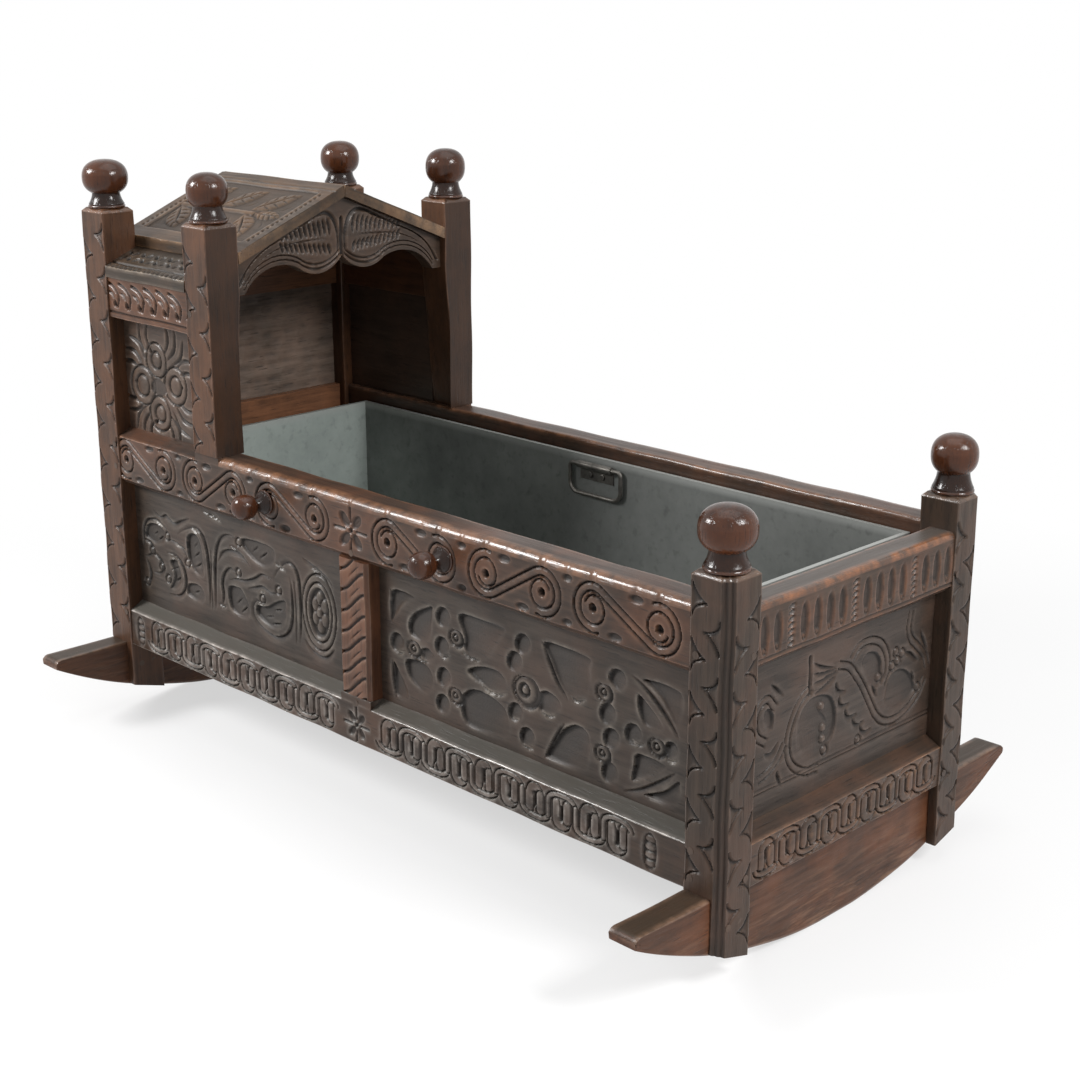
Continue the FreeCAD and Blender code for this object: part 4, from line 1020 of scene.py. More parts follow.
head_strokes = metres([
    [(-421, 208), (-420, 232), (-409, 244), (-390, 246), (-374, 240), (-366, 230)],
    [(-423, 216), (-409, 214), (-404, 206), (-412, 199), (-420, 196)],
    [(-408, 205), (-393, 199), (-385, 190), (-391, 182), (-404, 180)],
    [(-418, 194), (-412, 178), (-416, 166), (-430, 160)],
    [(-376, 210), (-356, 208), (-343, 196), (-341, 178), (-353, 163), (-374, 160)],
    [(-372, 228), (-354, 226), (-338, 220), (-330, 208)],
    [(-350, 238), (-334, 246), (-316, 251), (-302, 245), (-295, 228), (-292, 200), (-292, 162)],
    [(-398, 258), (-384, 252), (-372, 256), (-356, 250), (-340, 256), (-322, 262)],
    [(-281, 162), (-281, 205), (-277, 234), (-266, 252), (-248, 259), (-232, 255)],
    [(-273, 222), (-263, 236), (-245, 242), (-226, 239), (-210, 230)],
    [(-271, 166), (-266, 182), (-268, 198), (-262, 212), (-250, 220), (-236, 216)],
    [(-252, 206), (-238, 210), (-222, 212), (-206, 218), (-190, 226), (-172, 222)],
    [(-218, 203), (-204, 208), (-190, 212), (-174, 208), (-162, 212)],
    [(-196, 201), (-187, 197), (-190, 190), (-202, 192), (-209, 182), (-204, 170), (-188, 162),
     (-168, 159), (-151, 167), (-142, 182), (-139, 206), (-140, 236)],
    [(-170, 226), (-160, 238), (-147, 248), (-135, 248), (-127, 236), (-125, 205), (-127, 162)],
    [(-116, 262), (-96, 256), (-76, 248), (-66, 238)], [(-118, 170), (-104, 160), (-84, 158), (-66, 172)]])
head_grounds = metres([
    [(-416, 219), (-415, 233), (-403, 240), (-386, 240), (-374, 233), (-378, 220), (-396, 214)],
    [(-369, 201), (-356, 203), (-347, 192), (-347, 178), (-357, 168), (-371, 167), (-362, 184)],
    [(-331, 238), (-315, 245), (-304, 236), (-300, 215), (-301, 196), (-317, 196), (-330, 212)],
    [(-338, 178), (-322, 184), (-306, 182), (-300, 171), (-306, 163), (-324, 162), (-337, 167)],
    [(-255, 196), (-252, 172), (-236, 164), (-218, 166), (-214, 178), (-220, 190), (-232, 200)],
    [(-202, 187), (-202, 176), (-188, 168), (-170, 165), (-155, 172), (-148, 186), (-150, 204),
     (-166, 200), (-184, 190)],
    [(-225, 250), (-224, 260), (-190, 262), (-166, 258), (-166, 243), (-184, 233), (-206, 238)]])
head_veins = metres([
    [(-404, 225), (-392, 232)], [(-394, 220), (-381, 229)], [(-366, 191), (-353, 197)],
    [(-362, 177), (-350, 185)], [(-324, 225), (-312, 236)], [(-325, 213), (-307, 226)],
    [(-322, 202), (-304, 213)], [(-328, 170), (-312, 177)], [(-247, 176), (-230, 190)],
    [(-237, 169), (-221, 181)], [(-192, 175), (-172, 181)], [(-180, 170), (-158, 176)],
    [(-176, 187), (-156, 192)], [(-212, 245), (-196, 257)], [(-198, 241), (-180, 253)]])
head_glints = metres([
    [(-404, 243), (-392, 243), (-378, 238)], [(-367, 208), (-360, 204), (-352, 201)],
    [(-362, 226), (-350, 222), (-334, 222)], [(-322, 251), (-316, 248), (-310, 245)],
    [(-248, 247), (-236, 242), (-220, 238)], [(-168, 244), (-158, 240), (-148, 239)],
    [(-104, 254), (-94, 251), (-82, 246)], [(-274, 171), (-266, 169), (-259, 172)],
    [(-197, 203), (-191, 204), (-186, 201)], [(-298, 275), (-280, 273), (-262, 270)]])
head_berries = metres([
    (-404, 206), (-386, 190), (-372, 230), (-374, 178), (-419, 164), (-234, 218), (-191, 197), (-162, 214),
    (-231, 254), (-333, 206)])
head_berry = 0.0046
berry_dish = 1.5
berry_depth = 0.0026
berry_rise = 0.0034


def berry(face, centre, radius):
    """A small bead standing in a dished ring."""
    face.hollow(centre, (radius * berry_dish, radius * berry_dish), berry_depth)
    face.swell(centre, (radius, radius), -berry_depth, berry_rise)


oval_centre = (-0.092, 0.206)
oval_rings = ((0.0285, 1.5), (0.0215, 1.55))  # radius along the panel, and height as a share of it
oval_ring_width = 0.003
oval_ground = (0.018, 0.029)
oval_petals = 6
oval_spread = np.array([0.0086, 0.0155])
oval_petal = (0.006, 0.0085)
oval_bead = (0.0046, 0.006)


def petalled_oval(face):
    """An upright oval of two lines, with petals about a bead in its sunk middle."""
    for radius, flatten in oval_rings:
        face.gouge(arc(oval_centre, radius, flatten=flatten), oval_ring_width, stroke_depth)
    face.hollow(oval_centre, oval_ground, ground_depth)
    for step in range(oval_petals):
        petal = oval_centre + oval_spread * turned_to(90.0 - 360.0 * step / oval_petals)
        face.swell(petal, oval_petal, -ground_depth, ground_depth)
    face.swell(oval_centre, oval_bead, -berry_depth, berry_rise)


head_face = Face(spaced(post_gap_low, muntin_low.x), spaced(bottom_rail_top, top_rail_low))
# sunk ground and laps painted with shadow on the side towards the light's lean
for outline in head_grounds:
    head_face.sink(flowing(outline, closed=True), ground_depth, lean=light_lean)
for stroke in head_strokes:
    head_face.lap(flowing(stroke), stroke_width, stroke_depth, light_lean)
# glints: cuts painted with highlights
for edge in head_glints:
    head_face.lap(flowing(edge), glint_width, glint_depth, glint_lean, bright=True)
petalled_oval(head_face)
for start, end in head_veins:
    head_face.gouge(np.linspace(start, end, vein_points), *vein_cut, tapered=True)
for line in stem_lines:
    head_face.gouge(flowing(line), *stem_line, tapered=True)
for centre in head_berries:
    berry(head_face, centre, head_berry)

petal_depth = 0.0046
petal_far = 0.0
petal_shadow = 0.007
petal_radius = 0.0116
petals = metres([
    (35, 205), (105, 249), (103, 218), (105, 186), (103, 157), (216, 250), (205, 230), (206, 178),
    (222, 157), (325, 212), (330, 189), (328, 155), (356, 201)])
foot_leaves = metres([
    [(28, 260), (28, 228), (45, 247), (64, 260)],
    [(54, 220), (52, 232), (62, 244), (80, 254), (90, 256), (89, 236), (87, 220), (76, 214), (64, 215)],
    [(126, 254), (132, 261), (160, 262), (193, 260), (184, 243), (174, 227), (160, 219), (143, 218),
     (134, 226), (134, 238)],
    [(69, 206), (80, 211), (92, 206), (90, 198), (76, 195)],
    [(29, 184), (28, 165), (32, 147), (52, 146), (50, 158), (40, 172)],
    [(47, 190), (49, 177), (58, 167), (74, 160), (88, 165), (90, 180), (81, 191), (64, 194)],
    [(131, 176), (148, 187), (172, 186), (192, 178), (200, 164), (196, 148), (165, 144), (140, 145),
     (129, 158)],
    [(138, 203), (156, 213), (180, 215), (194, 208), (196, 196), (182, 189), (162, 191)],
    [(236, 206), (246, 213), (262, 209), (268, 200), (254, 188), (238, 190)],
    [(244, 261), (254, 241), (266, 222), (282, 212), (298, 218), (305, 232), (304, 248), (300, 261)],
    [(247, 145), (256, 164), (268, 181), (286, 191), (301, 186), (304, 172), (303, 156), (296, 146)],
    [(324, 247), (330, 258), (344, 257), (348, 244), (337, 237)],
    [(366, 258), (388, 245), (409, 226), (411, 257)],
    [(361, 242), (360, 228), (369, 214), (384, 212), (393, 219), (378, 232)],
    [(394, 206), (404, 209), (411, 200), (404, 190), (394, 191)],
    [(361, 185), (356, 171), (355, 156), (372, 162), (390, 174), (395, 184)],
    [(370, 147), (408, 147), (411, 174), (392, 159)]])
foot_glints = metres([
    [(29, 197), (38, 194), (47, 198)], [(63, 197), (72, 194), (82, 196)],
    [(98, 210), (106, 207), (115, 213)], [(130, 221), (142, 217), (158, 218)],
    [(152, 197), (166, 190), (182, 189), (195, 195)], [(236, 191), (246, 187), (258, 190)],
    [(198, 173), (205, 170), (211, 174)], [(211, 149), (219, 146), (230, 148)],
    [(276, 217), (286, 213), (298, 219)], [(352, 196), (361, 192), (370, 196)],
    [(394, 190), (402, 189), (409, 194)]])
foot_edges = metres([
    [(352, 258), (372, 246), (391, 231), (409, 214)], [(407, 182), (388, 168), (366, 153), (344, 143)],
    [(240, 261), (250, 240), (260, 224), (274, 212)], [(270, 188), (262, 178), (253, 163), (244, 144)],
    [(26, 261), (25, 243), (26, 226)], [(26, 186), (26, 165), (31, 144)]])
ring_flowers = metres([
    (58, 205), (121, 233), (120, 172), (318, 232), (317, 172), (382, 198)])
ring_radius = 0.0082
great_flower = (0.217, 0.205)
great_ring_radius = 0.014
shadow_aside = np.array([0.3, -0.08])  # places and sizes in a flower are shares of its radius
shadow_size = 1.25
flower_rise = 0.003
flower_rim = (0.002, 0.0022)
flower_rim_size = 1.1
flower_rim_turn = (95.0, 265.0)
flower_eye = 0.6
flower_eye_depth = 0.0036
flower_bead = 0.32
flower_bead_base = -0.0034
flower_bead_rise = 0.0032


def ring_flower(face, centre, radius):
    """A raised ring with a sunk middle and a bead in it, the ground beside it cut deepest on its far side and
    painted with shadow there.
    """
    shadow = arc(np.array(centre) + shadow_aside * radius, radius * shadow_size)[:-1]
    face.sink(shadow, petal_depth, lean=shadow_lean, far=petal_far, shadow_width=petal_shadow)
    face.swell(centre, (radius, radius), -flower_rise, flower_rise)
    face.gouge(arc(centre, radius * flower_rim_size, *flower_rim_turn), *flower_rim, tapered=True)
    face.hollow(centre, (radius * flower_eye, radius * flower_eye), flower_eye_depth, wall=steep_wall)
    face.swell(centre, (radius * flower_bead, radius * flower_bead), flower_bead_base, flower_bead_rise)


foot_face = Face(spaced(muntin_high.x, post_gap_high), spaced(bottom_rail_top, top_rail_low))
outlines = [flowing(leaf, closed=True) for leaf in foot_leaves]
outlines += [arc(petal, petal_radius)[:-1] for petal in petals]
# leaves and petals sunk and painted with shadow towards the light's lean
for outline in outlines:
    foot_face.sink(outline, petal_depth, lean=light_lean, far=petal_far, shadow_width=petal_shadow)
for edge in foot_edges:
    foot_face.lap(flowing(edge), stroke_width, stroke_depth, light_lean)
# glints: cuts painted with highlights
for edge in foot_glints:
    foot_face.lap(flowing(edge), glint_width, glint_depth, glint_lean, bright=True)
for centre in ring_flowers:
    ring_flower(foot_face, centre, ring_radius)
ring_flower(foot_face, great_flower, great_ring_radius)


def board_corners(back, front, bottom, top):
    """Section of a board whose edges are hidden in grooves."""
    places = ((back, bottom), (front, bottom), (front, top), (back, top))
    return [(*place, 0.0, 0.0) for place in places]


side_panel_section = board_corners(panel_front - board, panel_front, bottom_rail_top, top_rail_low)
for word, face in (("head", head_face), ("foot", foot_face)):
    face.v = np.linspace(bottom_rail_top + groove_clear, top_rail_low - groove_clear, len(face.v))
    for hand, side in hands:
        carved(f"side_panel_carved_{word}_{hand}", f"side_panel_{word}_{hand}", face, side_panel_section, 1,
               lengthwise(side), panel_oak)


# Foot end
# The low end of the cradle, tenoned into the foot posts: a top rail cut with flutes and ladder bars, a panel
# carved with scrolling stems and berries, and a bottom rail with the same looped band as the sides.

# greyer on faces that look up
foot_rail_oak = oak("foot_rail_oak", (0.054, 0.033, 0.022), (0.088, 0.042, 0.025), (0.26, 0.1, 0.04), 1,
                    upward_colour=(0.056, 0.047, 0.04))
foot_oak = oak("foot_oak", (0.054, 0.033, 0.022), (0.088, 0.042, 0.025), (0.24, 0.12, 0.06), 1)
foot_panel_oak = oak("foot_panel_oak", (0.046, 0.032, 0.024), (0.066, 0.038, 0.026), (0.17, 0.115, 0.085), 1)


def crosswise(along, across, up):
    """Lays a bar across the cradle."""
    return across, along, up


foot_rail_low, foot_rail_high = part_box("foot_top_rail")
post_gap = -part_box("foot_post_left")[1].y
foot_nosing = 0.006
foot_rail_edge = 0.003
flute_count = 16
flute_middle = (foot_rail_low.z + foot_rail_high.z) / 2.0
flute = (0.006, 0.02)
flute_hollow = 0.0028
flute_wall = 0.0024
flute_bead = (0.003, 0.003)
flute_bead_drop = 0.0145
flute_bead_rise = 0.0022
ladder_every = 5
ladder_first = 2
ladder_rungs = 7
rung = (0.0062, 0.0023)
rung_depth = 0.003
rung_tilt = 24.0
rung_first = foot_rail_low.z + 0.0125
rung_pitch = 0.0058
base_line = foot_rail_low.z + 0.0085
base_line_cut = (0.0022, 0.0018)
flute_face = face_between(-post_gap, post_gap, foot_rail_low.z + moulding, foot_rail_high.z - foot_nosing,
                          crisp_edge)
for number in range(flute_count):
    y = -post_gap + (number + 0.5) * 2.0 * post_gap / flute_count
    if number % ladder_every == ladder_first:
        for step in range(ladder_rungs):
            flute_face.hollow((y, rung_first + step * rung_pitch), rung, rung_depth, rung_tilt, steep_wall)
    else:
        flute_face.hollow((y, flute_middle), flute, flute_hollow, wall=flute_wall)
        flute_face.swell((y, flute_middle - flute_bead_drop), flute_bead, -flute_hollow, flute_bead_rise)
flute_face.gouge([(-post_gap, base_line), (post_gap, base_line)], *base_line_cut)
corners = [
    (foot_rail_low.x, foot_rail_low.z, soft_edge, 0.2),
    (foot_rail_high.x - moulding, foot_rail_low.z, worked_edge, 0.5),
    (foot_rail_high.x, foot_rail_low.z + moulding, worked_edge, 0.8),
    (foot_rail_high.x, foot_rail_high.z, foot_nosing, 1.0),
    (foot_rail_low.x, foot_rail_high.z, foot_rail_edge, 0.9)]
carved("foot_top_rail_carved", "foot_top_rail", flute_face, corners, 2, crosswise, foot_rail_oak)

low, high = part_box("foot_bottom_rail")
foot_panel_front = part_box("foot_panel")[1].x
end_ledge = high.z - ledge_drop
end_ledge_edge = 0.0006
end_inner_edge = 0.002
end_chain_pitch = 0.031
end_face = face_between(-post_gap, post_gap, low.z + crisp_edge, end_ledge, soft_edge)
link_chain(end_face, -post_gap, post_gap, low.z + chain_margin, end_ledge - chain_margin, end_chain_pitch)
corners = [(low.x, low.z, soft_edge, 0.2), (high.x, low.z, soft_edge, 0.6),
           (high.x, end_ledge, end_ledge_edge, 1.0), (foot_panel_front, high.z, crisp_edge, 0.2),
           (low.x, high.z, end_inner_edge, 0.3)]
carved("foot_bottom_rail_carved", "foot_bottom_rail", end_face, corners, 1, crosswise, foot_oak)

panel_low, panel_high = high.z, foot_rail_low.z
stem_band = 0.0052
stem_groove = 0.0022
stem_depth = 0.0022
stem_ground = 0.0028
stem_wall = 0.0018
leaf_cut = (0.007, 0.003)
foot_berry = 0.0044
end_lean = (0.7, 0.7)
leaf_lean = (0.3, 1.0)
trunk = [(-0.049, 0.27), (-0.047, 0.234)]
trunk_cut = (0.005, 0.0036)
margin_lines = (panel_low + 0.022, panel_low + 0.026)
margin_cut = (0.0024, 0.0014)
foot_stems = metres([
    [(-46, 240), (-60, 232), (-72, 216), (-78, 198), (-75, 180), (-64, 167), (-48, 159), (-30, 157)],
    [(16, 250), (26, 259), (44, 261), (62, 254), (72, 240), (74, 224), (68, 212)],
    [(-4, 250), (12, 244), (24, 232), (36, 217), (48, 199), (60, 182), (74, 172), (92, 169), (112, 174),
     (128, 184), (138, 198)],
    [(110, 274), (107, 258), (112, 246), (124, 235), (136, 224), (142, 210)],
    [(-118, 172), (-104, 176), (-92, 184), (-83, 196)],
    [(-98, 236), (-108, 246), (-120, 243), (-127, 230), (-122, 215), (-110, 206)]])
stem_grounds = metres([
    [(-66, 205), (-58, 222), (-40, 230), (-16, 224), (-6, 204), (-10, 182), (-28, 168), (-50, 170),
     (-64, 184)],
    [(30, 240), (40, 250), (56, 246), (64, 232), (60, 212), (50, 208), (40, 222)],
    [(76, 214), (90, 220), (106, 216), (118, 204), (122, 190), (104, 180), (84, 180), (70, 190)],
    [(-116, 232), (-108, 238), (-100, 230), (-102, 216), (-112, 216)]])
leaf_cuts = metres([
    [(-44, 264), (-30, 257), (-10, 250)], [(-44, 253), (-28, 250), (-8, 248)],
    [(-43, 243), (-26, 244), (-6, 246)], [(-41, 232), (-28, 236), (-10, 242)],
    [(-8, 236), (-3, 226), (8, 222)], [(-2, 220), (2, 210), (14, 208)], [(8, 205), (14, 195), (27, 194)],
    [(20, 192), (27, 183), (40, 183)], [(33, 181), (40, 172), (53, 172)],
    [(-32, 214), (-24, 208), (-16, 198)], [(-106, 260), (-96, 254), (-86, 244)],
    [(-92, 174), (-88, 166), (-84, 156)], [(-112, 196), (-102, 194), (-92, 202)],
    [(128, 250), (136, 238), (142, 226)], [(100, 236), (114, 231), (126, 220)],
    [(50, 216), (56, 210), (58, 202)], [(114, 212), (119, 206), (120, 197)]])
foot_berries = metres([
    (-28, 217), (-24, 195), (-24, 184), (-21, 172), (87, 239), (91, 229), (82, 226), (98, 235), (61, 220),
    (31, 166), (128, 192)])
stem_face = face_between(-post_gap, post_gap, panel_low, panel_high, groove_clear)
# sunk ground and leaf cuts painted with shadow on the side towards their lean
for outline in stem_grounds:
    stem_face.sink(flowing(outline, closed=True), stem_ground, stem_wall, end_lean)
for stem in foot_stems:
    stem_face.strap(flowing(stem), stem_band, stem_groove, stem_depth)
stem_face.gouge(trunk, *trunk_cut)
for stroke in leaf_cuts:
    stem_face.lap(flowing(stroke), *leaf_cut, leaf_lean)
for centre in foot_berries:
    berry(stem_face, centre, foot_berry)
for z in margin_lines:
    stem_face.gouge([(-post_gap, z), (post_gap, z)], *margin_cut)
corners = board_corners(foot_panel_front - board, foot_panel_front, panel_low, panel_high)
carved("foot_panel_carved", "foot_panel", stem_face, corners, 1, crosswise, foot_panel_oak)


# Head end
# The tall end behind the pillow, framed like the sides but left plain: bottom rail, mid rail, gable board and
# two panels. Inside, the upper panel still shows the scallops of the adze that thinned it.

# Lit copies of the oak: the inside of the head end is painted light, and its outside faces painted with
# shade.
painted_lit_head_oak = oak("painted_lit_head_oak", (0.2, 0.09, 0.047), (0.265, 0.114, 0.055), (0.3, 0.16, 0.095), 1)
painted_lit_pale_head_oak = oak("painted_lit_pale_head_oak", (0.17, 0.125, 0.098), (0.205, 0.138, 0.104), (0.3, 0.24, 0.19), 1)
outside_shade_tone = 0.3
outward_facing = (-0.7, -0.4)


def skin_of(material):
    """The colour that a material's surface has so far."""
    return material.node_tree.nodes["Principled BSDF"].inputs["Base Color"].links[0].from_socket


def painted_shade_outside(material):
    """Darkens the side that faces out behind the head, as painted shade."""
    inside = skin_of(material)
    outside = node(material, "ShaderNodeHueSaturation", Value=outside_shade_tone, Color=inside).outputs[0]
    normal = node(material, "ShaderNodeNewGeometry").outputs["True Normal"]
    facing = node(material, "ShaderNodeSeparateXYZ", Vector=normal).outputs["X"]
    share = ranged(material, facing, outward_facing, (1.0, 0.0))
    surfaced(material, Base_Color=blended(material, share, inside, outside))


def dressed(name, material):
    """Gives a CAD node that keeps its own shape a new finish."""
    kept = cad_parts[name]
    kept.data.materials.clear()
    kept.data.materials.append(material)


for material in (painted_lit_head_oak, painted_lit_pale_head_oak):
    painted_shade_outside(material)
for name in ("head_bottom_rail", "head_mid_rail", "head_gable", "head_panel_lower"):
    dressed(name, painted_lit_head_oak)

low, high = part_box("head_panel_upper")
mid_rail_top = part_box("head_mid_rail")[1].z
gable_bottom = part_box("head_gable")[0].z
adze_rows, adze_columns = 9, 11
adze_cell = 0.0024
scallop = (0.021, 0.011)
scallop_depth = 0.0012
scallop_wall = 0.011
scallop_place = (0.2, 0.8)
scallop_tilt = (-20.0, 20.0)
row_height = (gable_bottom - mid_rail_top) / adze_rows
column_width = 2.0 * post_gap / adze_columns
scatter = np.random.default_rng(7)
adze_face = face_between(-post_gap, post_gap, mid_rail_top, gable_bottom, groove_clear, adze_cell)
for row in range(adze_rows):
    for column in range(adze_columns):
        y = -post_gap + (column + scatter.uniform(*scallop_place)) * column_width
        z = mid_rail_top + (row + scatter.uniform(*scallop_place)) * row_height
        adze_face.hollow((y, z), scallop, scallop_depth, scatter.uniform(*scallop_tilt), scallop_wall)
corners = board_corners(low.x, high.x, mid_rail_top, gable_bottom)
carved("head_panel_upper_adzed", "head_panel_upper", adze_face, corners, 1, crosswise, painted_lit_pale_head_oak,
       "oak_plain")


# Rockers
# Two boards on edge under the posts, sawn to a long curve and lapped into the posts' feet. Their lower edges
# are worn flat in the middle and their corners are rubbed round.

# darker on faces that look up
rocker_oak = oak("rocker_oak", (0.072, 0.029, 0.0135), (0.125, 0.044, 0.0185), (0.2, 0.115, 0.072), 1,
                 gloss=0.46, upward_colour=(0.032, 0.0225, 0.0142), deep=(0.012, 0.007, 0.005))
bare_oak = (0.2, 0.108, 0.062)
scrape_stretch = (90.0, 16.0, 160.0)
scrape_heights = (0.01, 0.075)  # most scraped at the lower height, not at all above the upper one
scrape_shares = (0.8, 0.0)


def scuffed(material):
    """Shows paler wood in scrapes along the grain, fewer towards the top."""
    place = node(material, "ShaderNodeTexCoord").outputs["Object"]
    height = node(material, "ShaderNodeSeparateXYZ", Vector=place).outputs["Z"]
    drawn_out = node(material, "ShaderNodeMapping", Vector=place, Scale=scrape_stretch).outputs[0]
    scrapes = ranged(material, noise(material, drawn_out, scale=1.0, detail=6.0, rough=0.7), (0.48, 0.66))
    share = maths(material, "MULTIPLY", scrapes, ranged(material, height, scrape_heights, scrape_shares))
    surfaced(material, Base_Color=blended(material, share, skin_of(material), bare_oak))


scuffed(rocker_oak)
rocker_tip = 0.01
rocker_flat = 0.025
rocker_edge = 0.004
rocker_cell = 0.003
tip_drop = 0.004
tip_length = 0.006
saw_marks = 150
saw_mark_length = (0.01, 0.03)
saw_mark_height = (0.003, 0.007)
saw_mark_depth = 0.0004
saw_mark_wall = 0.006


def rocker(word):
    """One rocker: a board with a straight top whose under edge is an arc, flat where it stands."""
    low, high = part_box(f"rocker_{word}")
    tip_rise = high.z - rocker_tip
    radius = (high.y ** 2 + tip_rise ** 2) / (2.0 * tip_rise)

    def place(along, across, up):
        from_middle = np.maximum(abs(along), rocker_flat)
        under = math.sqrt(radius ** 2 - rocker_flat ** 2) - np.sqrt(radius ** 2 - from_middle ** 2)
        drop = tip_drop * np.clip((abs(along) - (high.y - tip_length)) / tip_length, 0.0, 1.0) ** 2
        height = under + up / high.z * (high.z - under) - drop * (up > high.z / 2.0)
        return across, along, np.maximum(height, 0.0)

    sawn = face_between(low.y, high.y, rocker_edge, high.z - rocker_edge, crisp_edge, rocker_cell)
    for _ in range(saw_marks):
        centre = (scatter.uniform(low.y, high.y), scatter.uniform(0.0, high.z))
        radii = (scatter.uniform(*saw_mark_length), scatter.uniform(*saw_mark_height))
        sawn.hollow(centre, radii, saw_mark_depth, wall=saw_mark_wall)
    corners = [(low.x, 0.0, rocker_edge, 0.6), (high.x, 0.0, rocker_edge, 0.8),
               (high.x, high.z, rocker_edge, 0.9), (low.x, high.z, rocker_edge, 0.7)]
    carved(f"rocker_worn_{word}", f"rocker_{word}", sawn, corners, 1, place, rocker_oak, "oak_plain")


for word in ("foot", "head"):
    rocker(word)


# Floor and pegs
# Cross boards lying loose on two cleats pegged to the bottom rails, and the riven oak pegs that lock every
# tenon and both rockers.

floor_oak = oak("floor_oak", (0.12, 0.082, 0.058), (0.15, 0.1, 0.068), (0.24, 0.17, 0.12), 1, gloss=0.6)
peg_oak = oak("peg_oak", (0.07, 0.048, 0.036), (0.1, 0.062, 0.044), (0.2, 0.13, 0.09), 2, gloss=0.5)
for name in ("floor_boards", "floor_cleat_left", "floor_cleat_right"):
    dressed(name, floor_oak)
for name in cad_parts:
    if "peg" in name:
        dressed(name, peg_oak)


# Hood
# The roofed head of the cradle: side rails and panels between the hood posts and the head posts, a front
# gable with a lobed lower edge, two roof boards meeting at the ridge and two eave boards under their edges.

hood_rail_oak = oak("hood_rail_oak", (0.08, 0.034, 0.017), (0.112, 0.043, 0.019), (0.21, 0.1, 0.052), 0)
hood_panel_oak = oak("hood_panel_oak", (0.056, 0.037, 0.027), (0.08, 0.045, 0.03), (0.24, 0.175, 0.13), 0,
                     deep=(0.013, 0.0095, 0.0072))
gable_oak = oak("gable_oak", (0.044, 0.028, 0.019), (0.068, 0.036, 0.021), (0.16, 0.1, 0.066), 1)
# golden where worn, partly a painted highlight on the raised carving
roof_oak = oak("roof_oak", (0.056, 0.034, 0.019), (0.092, 0.046, 0.021), (0.29, 0.165, 0.082), 0)
eave_oak = oak("eave_oak", (0.036, 0.025, 0.016), (0.052, 0.03, 0.018), (0.18, 0.135, 0.095), 0)

hood_rail_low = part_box("hood_rail_left")[0].z
roof_low, roof_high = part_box("roof_board_left")
roof_rise = 0.06
roof_board = 0.012
roof_slope = roof_rise / post_gap
roof_drop = roof_board * math.sqrt(1.0 + roof_slope ** 2)


def under_roof(layer, y):
    """Height of the roof's slope at a distance from the middle: layer 0 is its top, 1 and 2 lie below it."""
    return roof_high.z - layer * roof_drop - roof_slope * y


gadroon_places = (-0.418, -0.394, -0.368, -0.344, -0.32, -0.296)
gadroon_sweep = np.array([(-0.017, 0.5205), (-0.005, 0.5165), (0.005, 0.507), (0.002, 0.4945)])
gadroon_sweep_cut = (0.0046, 0.0034)
gadroon_fold = np.array([(-0.016, 0.511), (-0.008, 0.508), (-0.004, 0.502)])
gadroon_fold_cut = (0.0036, 0.0024)
gadroon_eye = np.array([-0.003, 0.4975])
gadroon_eye_radii = (0.0036, 0.0048)
gadroon_eye_depth = 0.0046
gadroon_line = 0.4875
gadroon_line_cut = (0.003, 0.002)
drilled_wall = 0.0016
gadroon_face = face_between(post_gap_low, hood_back, hood_rail_low, under_roof(2, rail_outer), edge_round)
for x in gadroon_places:
    gadroon_face.gouge(flowing(gadroon_sweep + (x, 0.0)), *gadroon_sweep_cut)
    gadroon_face.gouge(flowing(gadroon_fold + (x, 0.0)), *gadroon_fold_cut, tapered=True)
    gadroon_face.hollow(gadroon_eye + (x, 0.0), gadroon_eye_radii, gadroon_eye_depth, wall=drilled_wall)
gadroon_face.gouge([(post_gap_low, gadroon_line), (hood_back, gadroon_line)], *gadroon_line_cut)
upper_edge = 0.0012
rail_section = [
    (rail_inner, hood_rail_low, soft_edge, 0.2), (rail_outer, hood_rail_low, edge_round, 1.0),
    (rail_outer, under_roof(2, rail_outer), upper_edge, 0.5),
    (rail_inner, under_roof(2, rail_inner), soft_edge, 0.1)]

palm_middle = np.array([-0.368, 0.408])
palm_turns = (45.0, 135.0, 225.0, 315.0)
palm_spread = (-28.0, -14.0, 0.0, 14.0, 28.0)
palm_root, palm_tip, palm_bow = 0.036, 0.078, 0.005
palm_cut = (0.0062, 0.0034)
strap_rings = [((-0.372, 0.437), 0.015), ((-0.402, 0.404), 0.0175), ((-0.336, 0.412), 0.0165),
               ((-0.37, 0.376), 0.015)]
ring_end = 364.0
ring_band = 0.0068
ring_groove = 0.0036
ring_depth = 0.0034
ring_boss_inset = 0.006
ring_boss_base = -0.002
ring_boss_rise = 0.0028
ring_pits = [(-0.382, 0.447), (-0.414, 0.407), (-0.324, 0.413), (-0.379, 0.365)]
ring_pit = (0.0034, 0.0034)
ring_pit_depth = 0.0052
knot = [(-0.384, 0.412), (-0.372, 0.418), (-0.358, 0.412), (-0.354, 0.404), (-0.364, 0.396), (-0.378, 0.396),
        (-0.386, 0.402)]
knot_depth = 0.0024
side_rail_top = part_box("side_top_rail_left")[1].z
hood_panel_face = face_between(post_gap_low, hood_back, side_rail_top, hood_rail_low, groove_clear)
for turn in palm_turns:
    for spread in palm_spread:
        way = turned_to(turn + spread)
        aside = np.array([-way[1], way[0]]) * math.copysign(palm_bow, spread)
        root, tip = palm_middle + palm_root * way, palm_middle + palm_tip * way
        blade = flowing([root, (root + tip) / 2.0 - aside, tip + aside])
        hood_panel_face.gouge(blade, *palm_cut, tapered=True)
for centre, radius in strap_rings:
    hood_panel_face.strap(arc(centre, radius, end=ring_end), ring_band, ring_groove, ring_depth)
    boss = radius - ring_boss_inset
    hood_panel_face.swell(centre, (boss, boss), ring_boss_base, ring_boss_rise)
